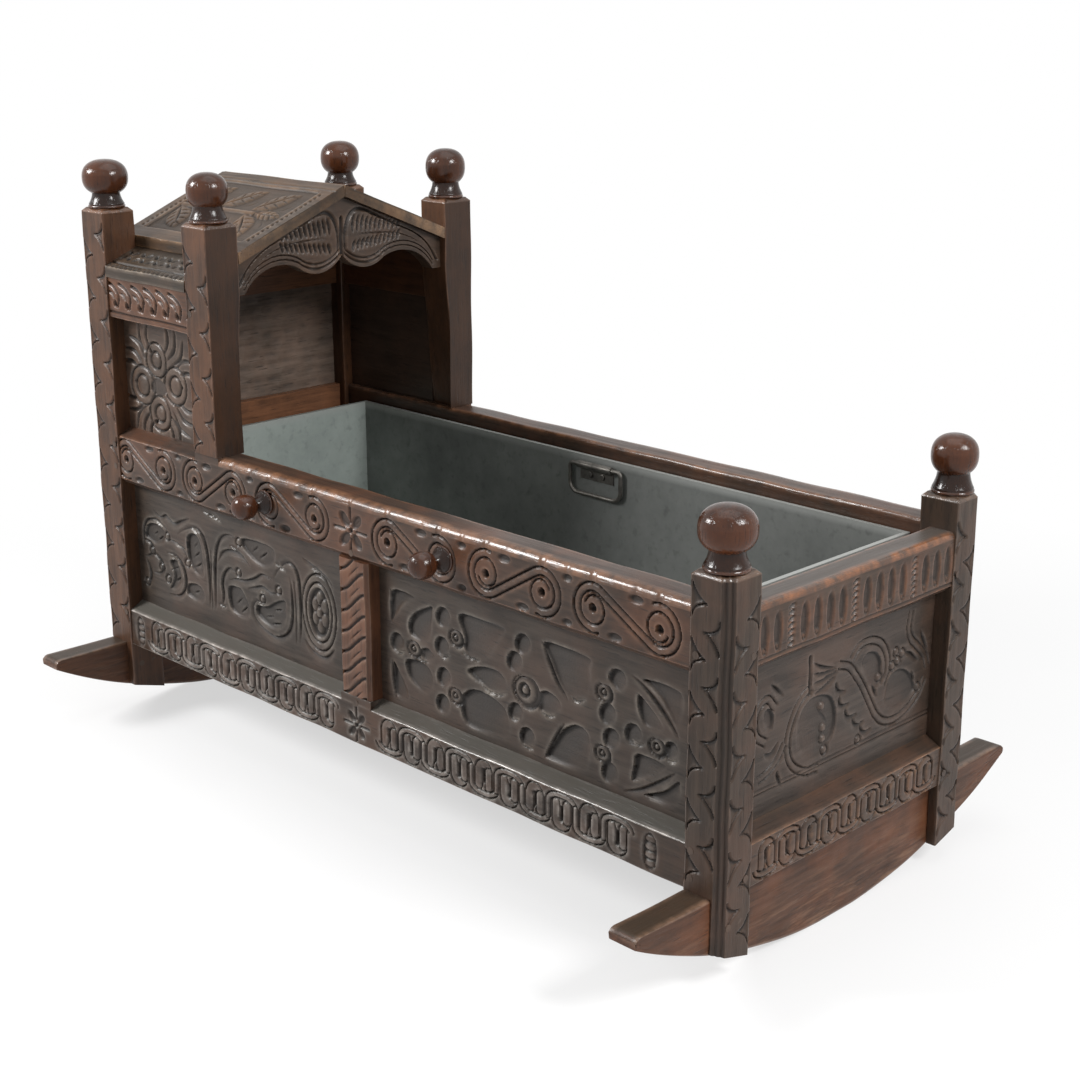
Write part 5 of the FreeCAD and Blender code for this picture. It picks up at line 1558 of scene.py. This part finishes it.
for centre in ring_pits:
    hood_panel_face.hollow(centre, ring_pit, ring_pit_depth, wall=drilled_wall)
hood_panel_face.sink(flowing(knot, closed=True), knot_depth)
panel_section = board_corners(panel_front - board, panel_front, side_rail_top, hood_rail_low)

leaf_points = 24
leaf_notches = range(5, 22, 4)
leaf_notch = (0.004, 0.0022)
leaf_notch_turn = 55.0
side_vein_back = 3
side_vein_start = 0.2
side_vein_points = 8
side_vein = (0.003, 0.0018)
middle_vein = (0.0032, 0.0024)
roof_wall = 0.0016
roof_inset = 0.019
roof_ground = 0.0024
spray_stem = 0.007
spray_pairs = 3
spray_pitch = 0.06
spray_first = 0.005
spray_turn = 45.0
spray_leaf = (0.06, 0.03)
spray_curl = np.array([(0.034, 0.008), (0.046, 0.016), (0.054, 0.03)])
spray_curl_cut = (0.004, 0.0034)
end_leaf = (0.046, 0.018)
punch_pitch = 0.0066
punch_out = 0.006
punch = (0.0034, 0.0022)
punch_depth = 0.0022
punch_tilt = 35.0
ridge_line_out = 0.005
ridge_line_cut = (0.0026, 0.0018)


def leaf_edge(root, turn, length, width, sense):
    """One edge of a pointed leaf from its root to its tip, as a bow; sense 0 gives its middle line."""
    share = np.linspace(0.0, 1.0, leaf_points)
    aside = 2.0 * sense * width * share * (1.0 - share)
    c, s = turned_to(turn)
    return np.stack([root[0] + share * length * c - aside * s, root[1] + share * length * s + aside * c], 1)


def carved_leaf(face, root, turn, length, width):
    """A pointed leaf standing in the sunk ground, with notched edges and veins."""
    left, middle, right = (leaf_edge(root, turn, length, width, sense) for sense in (1.0, 0.0, -1.0))
    face.stand(np.vstack([left, right[-2:0:-1]]), -roof_ground, roof_ground, width / 4.0)
    for edge, sense in ((left, 1.0), (right, -1.0)):
        for number in leaf_notches:
            start, end = middle[number - side_vein_back], edge[number]
            vein = np.linspace(start + side_vein_start * (end - start), end, side_vein_points)
            face.gouge(vein, *side_vein, tapered=True)
            face.hollow(end, leaf_notch, roof_ground, turn + leaf_notch_turn * sense, roof_wall)
    face.gouge(middle[1:-2], *middle_vein, tapered=True)


def rectangle(low, high):
    return np.array([low, (high[0], low[1]), high, (low[0], high[1])])


roof_foot = -roof_low.y
field_low = (roof_low.x + roof_inset, roof_inset)
field_high = (roof_high.x - roof_inset, roof_foot - roof_inset)
stem_y = (field_low[1] + field_high[1]) / 2.0
stem_end = field_high[0] - spray_first - end_leaf[0]
stem_half = spray_stem / 2.0
roof_face = face_between(roof_low.x, roof_high.x, 0.0, roof_foot, edge_round)
roof_face.sink(rectangle(field_low, field_high), roof_ground, roof_wall)
roof_face.stand(rectangle((field_low[0], stem_y - stem_half), (stem_end, stem_y + stem_half)), -roof_ground,
                roof_ground, stem_half)
for number in range(spray_pairs):
    x = field_low[0] + spray_first + number * spray_pitch
    for sense in (-1.0, 1.0):
        carved_leaf(roof_face, (x, stem_y + sense * stem_half), sense * spray_turn, *spray_leaf)
        roof_face.gouge(flowing(spray_curl * (1.0, sense) + (x, stem_y)), *spray_curl_cut, tapered=True)
carved_leaf(roof_face, (stem_end, stem_y), 0.0, *end_leaf)
for y in np.arange(field_low[1] + punch_pitch, field_high[1], punch_pitch):
    for x in (field_low[0] - punch_out, field_high[0] + punch_out):
        roof_face.hollow((x, y), punch, punch_depth, punch_tilt, steep_wall)
ridge_line = field_low[1] - ridge_line_out
roof_face.gouge([(roof_low.x, ridge_line), (roof_high.x, ridge_line)], *ridge_line_cut)
roof_section = [
    (0.0, under_roof(1, 0.0), crisp_edge, 0.0),
    (roof_foot, under_roof(1, roof_foot), soft_edge, 0.6),
    (roof_foot, under_roof(0, roof_foot), edge_round, 0.9),
    (0.0, under_roof(0, 0.0), edge_round, 0.6)]

eave_low, eave_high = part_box("eave_board_left")
eave_inner, eave_outer = -eave_high.y, -eave_low.y
eave_wall = 0.0018
eave_edge = 0.0025
eave_bead_pitch = 0.0088
eave_bead_gap = (0.0026, 0.006)
eave_bead_depth = 0.0026
eave_line = eave_outer - 0.0095
eave_line_cut = (0.0026, 0.0022)
lozenge_pitch = 0.026
lozenge_half = 0.0055
lozenge_rows = ((eave_outer - 0.02, 35.0), (eave_outer - 0.03, -35.0))  # place and tilt of its sides
lozenge_side = (0.0065, 0.0034)
lozenge_depth = 0.0028
eave_face = face_between(eave_low.x, eave_high.x, eave_inner, eave_outer, edge_round)
for number in range(int((eave_high.x - eave_low.x) / eave_bead_pitch)):
    x = eave_low.x + (number + 0.5) * eave_bead_pitch
    eave_face.hollow((x, eave_outer - soft_edge), eave_bead_gap, eave_bead_depth, wall=eave_wall)
eave_face.gouge([(eave_low.x, eave_line), (eave_high.x, eave_line)], *eave_line_cut)
for x in np.arange(eave_low.x + lozenge_pitch / 2.0, eave_high.x, lozenge_pitch):
    for sense in (-1.0, 1.0):
        for y, tilt in lozenge_rows:
            centre = (x + sense * lozenge_half, y)
            eave_face.hollow(centre, lozenge_side, lozenge_depth, sense * tilt, eave_wall)
eave_section = [
    (eave_inner, under_roof(2, eave_inner), crisp_edge, 0.0),
    (eave_outer, under_roof(2, eave_outer), soft_edge, 0.6),
    (eave_outer, under_roof(1, eave_outer), eave_edge, 1.0),
    (eave_inner, under_roof(1, eave_inner), crisp_edge, 0.0)]

hood_boards = (
    ("hood_rail", gadroon_face, rail_section, 1, hood_rail_oak),
    ("hood_panel", hood_panel_face, panel_section, 1, hood_panel_oak),
    ("roof_board", roof_face, roof_section, 2, roof_oak),
    ("eave_board", eave_face, eave_section, 2, eave_oak))
for hand, side in hands:
    for name, face, section, edge, material in hood_boards:
        carved(f"{name}_carved_{hand}", f"{name}_{hand}", face, section, edge, lengthwise(side), material)

gable_low, gable_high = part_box("hood_gable")
gable_depth = 0.065
tail_inner = 0.135
gable_profile = [(tail_inner, 0.0), (0.087, 0.027), (0.06, 0.021), (0.032, 0.0125), (0.0, 0.03)]


def arc_height(first, second, third, y):
    """Height at y on the arc through three points."""
    (a, b), (c, d), (e, f) = first, second, third
    turn = 2.0 * (a * (d - f) + c * (f - b) + e * (b - d))
    middle = ((a * a + b * b) * (d - f) + (c * c + d * d) * (f - b) + (e * e + f * f) * (b - d)) / turn
    centre = ((a * a + b * b) * (e - c) + (c * c + d * d) * (a - e) + (e * e + f * f) * (c - a)) / turn
    radius = math.dist((a, b), (middle, centre))
    rise = np.sqrt(np.clip(radius ** 2 - (y - middle) ** 2, 0.0, None))
    return centre + rise if d > centre else centre - rise


def lobed_edge(y):
    """Height of the gable's lower edge: two arches, with a lobe hanging between them."""
    y = abs(y)
    arch = arc_height(*gable_profile[0:3], y)
    lobe = arc_height(*gable_profile[2:5], y)
    shape = np.where(y > gable_profile[2][0], arch, lobe)
    return gable_low.z + np.where(y > tail_inner, 0.0, shape)


def gable_height(y):
    return under_roof(1, abs(y)) - lobed_edge(y)


def gable_place(along, across, up):
    return across, along, lobed_edge(along) + up / gable_depth * gable_height(along)


def on_gable(path):
    """Places on the gable as (across, height) turned into places on its face, which follows its edge."""
    y, z = np.asarray(path, float).T
    return np.stack([y, (z - lobed_edge(y)) / gable_height(y) * gable_depth], 1)


edge_lines = (0.0055, 0.0105)
edge_line_start = 0.004
edge_line_points = 90
edge_line_cut = (0.003, 0.0022)
leaf_rim = [(0.142, 0.531), (0.128, 0.551), (0.108, 0.566), (0.08, 0.578), (0.055, 0.589), (0.034, 0.598),
            (0.02, 0.599), (0.01, 0.59), (0.005, 0.574), (0.005, 0.558)]
leaf_rim_cut = (0.0042, 0.0028)
leaf_vein = [(0.12, 0.552), (0.1, 0.562), (0.08, 0.568), (0.05, 0.571), (0.016, 0.571)]
leaf_vein_cut = (0.0026, 0.0018)
frond_count = 11
frond_first = 0.016
frond_pitch = 0.0066
frond_aside = np.array([0.0, 0.001, 0.004])
frond_cut = (0.0046, 0.0032)
upper_frond, upper_frond_less, upper_frond_foot = 0.0105, 0.0006, 0.5735
lower_frond, lower_frond_rise, lower_frond_middle = 0.006, 0.0008, 0.5585
gable_stem = [(0.0, 0.5515), (0.0, 0.57), (0.0, 0.592)]
gable_stem_cut = (0.0056, 0.0044)
gable_face = face_between(-post_gap, post_gap, 0.0, gable_depth, upper_edge)
for side in (-1.0, 1.0):
    for rise in edge_lines:
        y = np.linspace(edge_line_start, tail_inner, edge_line_points)
        gable_face.gouge(on_gable(np.stack([side * y, lobed_edge(y) + rise], 1)), *edge_line_cut)
    gable_face.gouge(on_gable(flowing(leaf_rim) * (side, 1.0)), *leaf_rim_cut)
    gable_face.gouge(on_gable(flowing(leaf_vein) * (side, 1.0)), *leaf_vein_cut, tapered=True)
    for number in range(frond_count):
        y = side * (frond_first + number * frond_pitch + frond_aside)
        upper = upper_frond - upper_frond_less * number
        lower_middle = lower_frond_middle + lower_frond_rise * number
        for middle, reach in ((upper_frond_foot + upper, upper), (lower_middle, lower_frond)):
            frond = np.stack([y, (middle - reach, middle, middle + reach)], 1)
            gable_face.gouge(flowing(on_gable(frond)), *frond_cut, tapered=True)
gable_face.gouge(on_gable(gable_stem), *gable_stem_cut)
corners = [(gable_low.x, 0.0, soft_edge, 0.2), (gable_high.x, 0.0, soft_edge, 0.9),
           (gable_high.x, gable_depth, soft_edge, 0.2), (gable_low.x, gable_depth, soft_edge, 0.1)]
carved("hood_gable_carved", "hood_gable", gable_face, corners, 1, gable_place, gable_oak)


# Turned finials and lacing knobs
# A ball on a coved neck tops each post, and two smaller ones stand out of each top rail to lace the covers
# to. They are turned from oak, set on spigots, and polished nearly black-red by hands.

turned_oak = oak("turned_oak", (0.046, 0.015, 0.0064), (0.084, 0.026, 0.0095), (0.13, 0.046, 0.019), 2,
                 gloss=0.17, deep=(0.006, 0.004, 0.0033))
finial_heights = {"head_left": 0.04, "head_right": 0.042, "hood_left": 0.039, "hood_right": 0.043,
                  "foot_left": 0.042, "foot_right": 0.041}
finial_base = 0.041
finial_neck = 0.031
knob_ball = 0.027
knob_neck = 0.013
base_lip = 0.003
cove_flare = 1.8
cove_points = 14
cove_darkening = 0.85
ball_fullness = 0.85
ball_points = 44
ball_end = math.pi - 0.06
ball_wear = 0.25
upper_wear, lower_wear = 1.0, 0.4
wear_angle = 1.7
around = 72


def turned(base, neck, length, width, height):
    """Outline of a turned knob as (radius, distance out, how worn, how dark): a lip, a cove and a ball."""
    outline = [(base / 2.0 - worked_edge, 0.0, 0.3, 0.6), (base / 2.0, worked_edge, 0.6, 0.4),
               (base / 2.0, base_lip - worked_edge, 0.6, 0.4), (base / 2.0 - soft_edge, base_lip, 0.4, 0.6)]
    middle = length - height / 2.0
    neck_angle = math.asin((neck / width) ** (1.0 / ball_fullness))
    neck_out = middle - height / 2.0 * math.cos(neck_angle) ** ball_fullness
    for share in np.linspace(0.0, 1.0, cove_points)[1:]:
        flare = (base - neck) / 2.0 * (1.0 - share) ** cove_flare
        outline.append((neck / 2.0 + flare, base_lip + (neck_out - base_lip) * share, 0.0, cove_darkening))
    for angle in np.linspace(neck_angle, ball_end, ball_points)[1:]:
        out = math.copysign(abs(math.cos(angle)) ** ball_fullness, math.cos(angle))
        worn = ball_wear * math.sin(angle) ** 2 * (upper_wear if angle > wear_angle else lower_wear)
        radius = width / 2.0 * math.sin(angle) ** ball_fullness
        outline.append((radius, middle - height / 2.0 * out, worn, 0.0))
    return np.array(outline)


def turned_piece(name, stands_for, outline, place):
    """Sweeps a turned outline round its axis."""
    angles = np.linspace(0.0, 2.0 * math.pi, around, endpoint=False)
    radius, out, worn, darkened = (column[:, None] for column in outline.T)
    rings = np.stack(np.broadcast_arrays(*place(radius * np.cos(angles), radius * np.sin(angles), out)), -1)
    worn, darkened = np.repeat(worn, around, 1), np.repeat(darkened, around, 1)
    piece(name, stands_for, [(rings, darkened, worn, np.zeros(worn.shape))], turned_oak, "oak_turned")


def finial(word, height):
    """A ball that stands on top of a post."""
    low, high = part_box(f"finial_{word}")
    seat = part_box(word.replace("_", "_post_"))[1].z
    x, y = (low.x + high.x) / 2.0, (low.y + high.y) / 2.0

    def place(across, aside, out):
        return x + across, y + aside, seat + out

    outline = turned(finial_base, finial_neck, high.z - seat, high.x - low.x, height)
    turned_piece(f"finial_turned_{word}", f"finial_{word}", outline, place)


def knob(word, side):
    """A knob that stands out of a side rail."""
    low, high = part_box(f"knob_{word}")
    x, z = (low.x + high.x) / 2.0, (low.z + high.z) / 2.0

    def place(across, aside, out):
        return x + across, side * (rail_outer + out), z + aside

    reach = max(abs(low.y), abs(high.y)) - rail_outer
    outline = turned(knob_ball, knob_neck, reach, knob_ball, knob_ball)
    turned_piece(f"knob_turned_{word}", f"knob_{word}", outline, place)


for word, height in finial_heights.items():
    finial(word, height)
for end in ("head", "foot"):
    for hand, side in hands:
        knob(f"{end}_{hand}", side)


# Zinc liner
# A loose tub of zinc sheet standing on the floor boards: a flat floor and four walls, their upper edges
# folded over. The metal has gone dull and clouded, with pale wear along the rim.

speck_tone = 0.6
rim_wear = (0.327, 0.333)
rim_zinc = (0.42, 0.43, 0.41)


def metal(name, colour_of, shine, rough, bump_strength, bump_depth):
    """Old metal, duller in its clouds: colour_of gives the clouds, the colour and the dents; rough is the
    roughness from the clearest place to the most clouded."""
    material = new_material(name)
    place = node(material, "ShaderNodeTexCoord").outputs["Object"]
    clouds, colour, relief = colour_of(material, place)
    dull = ranged(material, clouds, (0.3, 0.7), rough)
    bump = node(material, "ShaderNodeBump", Strength=bump_strength, Distance=bump_depth, Height=relief)
    surfaced(material, Base_Color=colour, Roughness=dull, Normal=bump.outputs[0])
    material.node_tree.nodes["Principled BSDF"].inputs["Metallic"].default_value = shine
    return material


def zinc_sheet(name, dark, light):
    """Clouded zinc with specks, dents and a paler rim."""
    def colour_of(material, place):
        clouds = noise(material, place, scale=7.0, detail=6.0, rough=0.65)
        specks = noise(material, place, scale=90.0, detail=3.0, rough=0.6)
        dents = noise(material, place, scale=14.0, detail=3.0, rough=0.5)
        height = node(material, "ShaderNodeSeparateXYZ", Vector=place).outputs["Z"]
        speck = tuple(speck_tone * tone for tone in dark)
        colour = blended(material, ranged(material, clouds, (0.35, 0.68)), dark, light)
        colour = blended(material, ranged(material, specks, (0.55, 0.75), (0.0, 0.5)), colour, speck)
        colour = blended(material, ranged(material, height, rim_wear, (0.0, 0.55)), colour, rim_zinc)
        return clouds, colour, dents
    return metal(name, colour_of, shine=0.55, rough=(0.62, 0.42), bump_strength=0.25, bump_depth=0.004)


dull_zinc = zinc_sheet("dull_zinc", (0.135, 0.142, 0.135), (0.25, 0.258, 0.245))
# a lighter copy for the head wall, painted light where it faces a lamp
painted_lit_zinc = zinc_sheet("painted_lit_zinc", (0.31, 0.35, 0.328), (0.49, 0.545, 0.51))
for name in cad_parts:
    if name.startswith("liner_"):
        dressed(name, painted_lit_zinc if name == "liner_wall_head" else dull_zinc)


# Drop handles of the liner
# On each long wall a wire bail hangs in a clip folded from sheet and fixed with two rivets. The iron has gone
# dark, and is a little brighter where hands have rubbed it.

dark_iron = (0.06, 0.056, 0.05)
rubbed_iron = (0.15, 0.14, 0.125)


def iron_colour(material, place):
    tarnish = noise(material, place, scale=60.0, detail=5.0, rough=0.65)
    colour = blended(material, ranged(material, tarnish, (0.35, 0.65)), dark_iron, rubbed_iron)
    return tarnish, colour, tarnish


wire = metal("handled_wire", iron_colour, shine=0.7, rough=(0.55, 0.32), bump_strength=0.2, bump_depth=0.0006)
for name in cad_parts:
    if name.startswith("handle_"):
        dressed(name, wire)


# Studio
# A plain pale floor under the cradle, two large soft lamps on either side of the camera, one overhead and an
# even white surround, as in a photographer's studio.

floor_half = 6.0
floor_mesh = bpy.data.meshes.new("studio_floor")
floor_edge = rectangle((-floor_half, -floor_half), (floor_half, floor_half))
floor_mesh.from_pydata([(x, y, 0.0) for x, y in floor_edge], [], [(0, 1, 2, 3)])
studio_floor = bpy.data.objects.new("studio_floor", floor_mesh)
bpy.context.scene.collection.objects.link(studio_floor)


def looked_at(material, clamp):
    """1 for rays that come from the camera, straight, mirrored or through glass, and 0 for the rest."""
    rays = node(material, "ShaderNodeLightPath").outputs
    through = maths(material, "ADD", rays["Is Glossy Ray"], rays["Is Transmission Ray"])
    return maths(material, "ADD", rays["Is Camera Ray"], through, clamp=clamp)


paper_white = (0.86, 0.86, 0.86, 1.0)
full_white = (1.0, 1.0, 1.0, 1.0)
bright_from = (0.5, 1.3)  # the paper is lit fully from the second distance from the middle on
bright_share = (0.62, 1.0)
paper = new_material("studio_paper")
paper.node_tree.nodes.clear()
place = node(paper, "ShaderNodeTexCoord").outputs["Object"]
from_middle = node(paper, "ShaderNodeVectorMath", {"operation": "LENGTH"}, Vector=place).outputs["Value"]
lit = ranged(paper, from_middle, bright_from, bright_share)
share = maths(paper, "MULTIPLY", looked_at(paper, True), lit)
matt = node(paper, "ShaderNodeBsdfDiffuse", Color=paper_white).outputs[0]
bright = node(paper, "ShaderNodeEmission", Color=full_white, Strength=1.0).outputs[0]
mixed = paper.node_tree.nodes.new("ShaderNodeMixShader")
for output, socket in zip((share, matt, bright), mixed.inputs):
    paper.node_tree.links.new(output, socket)
node(paper, "ShaderNodeOutputMaterial", Surface=mixed.outputs[0])
floor_mesh.materials.append(paper)

surround_light = 0.3
surround = bpy.data.worlds.new("studio_surround")
surround.use_nodes = True
bpy.context.scene.world = surround
backdrop = surround.node_tree.nodes["Background"]
backdrop.inputs["Color"].default_value = full_white
level = ranged(surround, looked_at(surround, False), (0.0, 1.0), (surround_light, 1.0))
surround.node_tree.links.new(level, backdrop.inputs["Strength"])


def aimed(name, data, place, target):
    """Puts a lamp or camera at a place, looking at a target."""
    made = bpy.data.objects.new(name, data)
    bpy.context.scene.collection.objects.link(made)
    forward = np.subtract(target, place)
    made.location = place
    made.rotation_euler = (math.atan2(math.hypot(forward[0], forward[1]), -forward[2]), 0.0,
                           math.atan2(forward[1], forward[0]) - math.pi / 2.0)
    return made


lamps = (("left", (-1.48, -1.63, 1.55), 0.7, 62.0), ("right", (2.03, 0.21, 1.75), 0.7, 48.0),
         ("top", (0.2, 0.1, 2.6), 2.0, 18.0))
lamps_aim = (0.0, 0.0, 0.3)
for word, place, size, watts in lamps:
    lamp = bpy.data.lights.new(f"softbox_{word}", "AREA")
    lamp.shape = "SQUARE"
    lamp.size = size
    lamp.energy = watts
    aimed(f"softbox_{word}", lamp, place, lamps_aim)

image_side = 1080.0
focal_pixels = 1804.1
camera_place = np.array([1.3445, -1.2816, 0.8411])
camera_turn, camera_dip = math.radians(44.89), math.radians(17.12)
camera_way = np.array([-math.sin(camera_turn) * math.cos(camera_dip),
                       math.cos(camera_turn) * math.cos(camera_dip), -math.sin(camera_dip)])
camera = bpy.data.cameras.new("camera")
camera.sensor_width = 36.0
camera.lens = camera.sensor_width * focal_pixels / image_side
bpy.context.scene.camera = aimed("camera", camera, camera_place, camera_place + camera_way)
bpy.context.scene.view_settings.view_transform = "Standard"
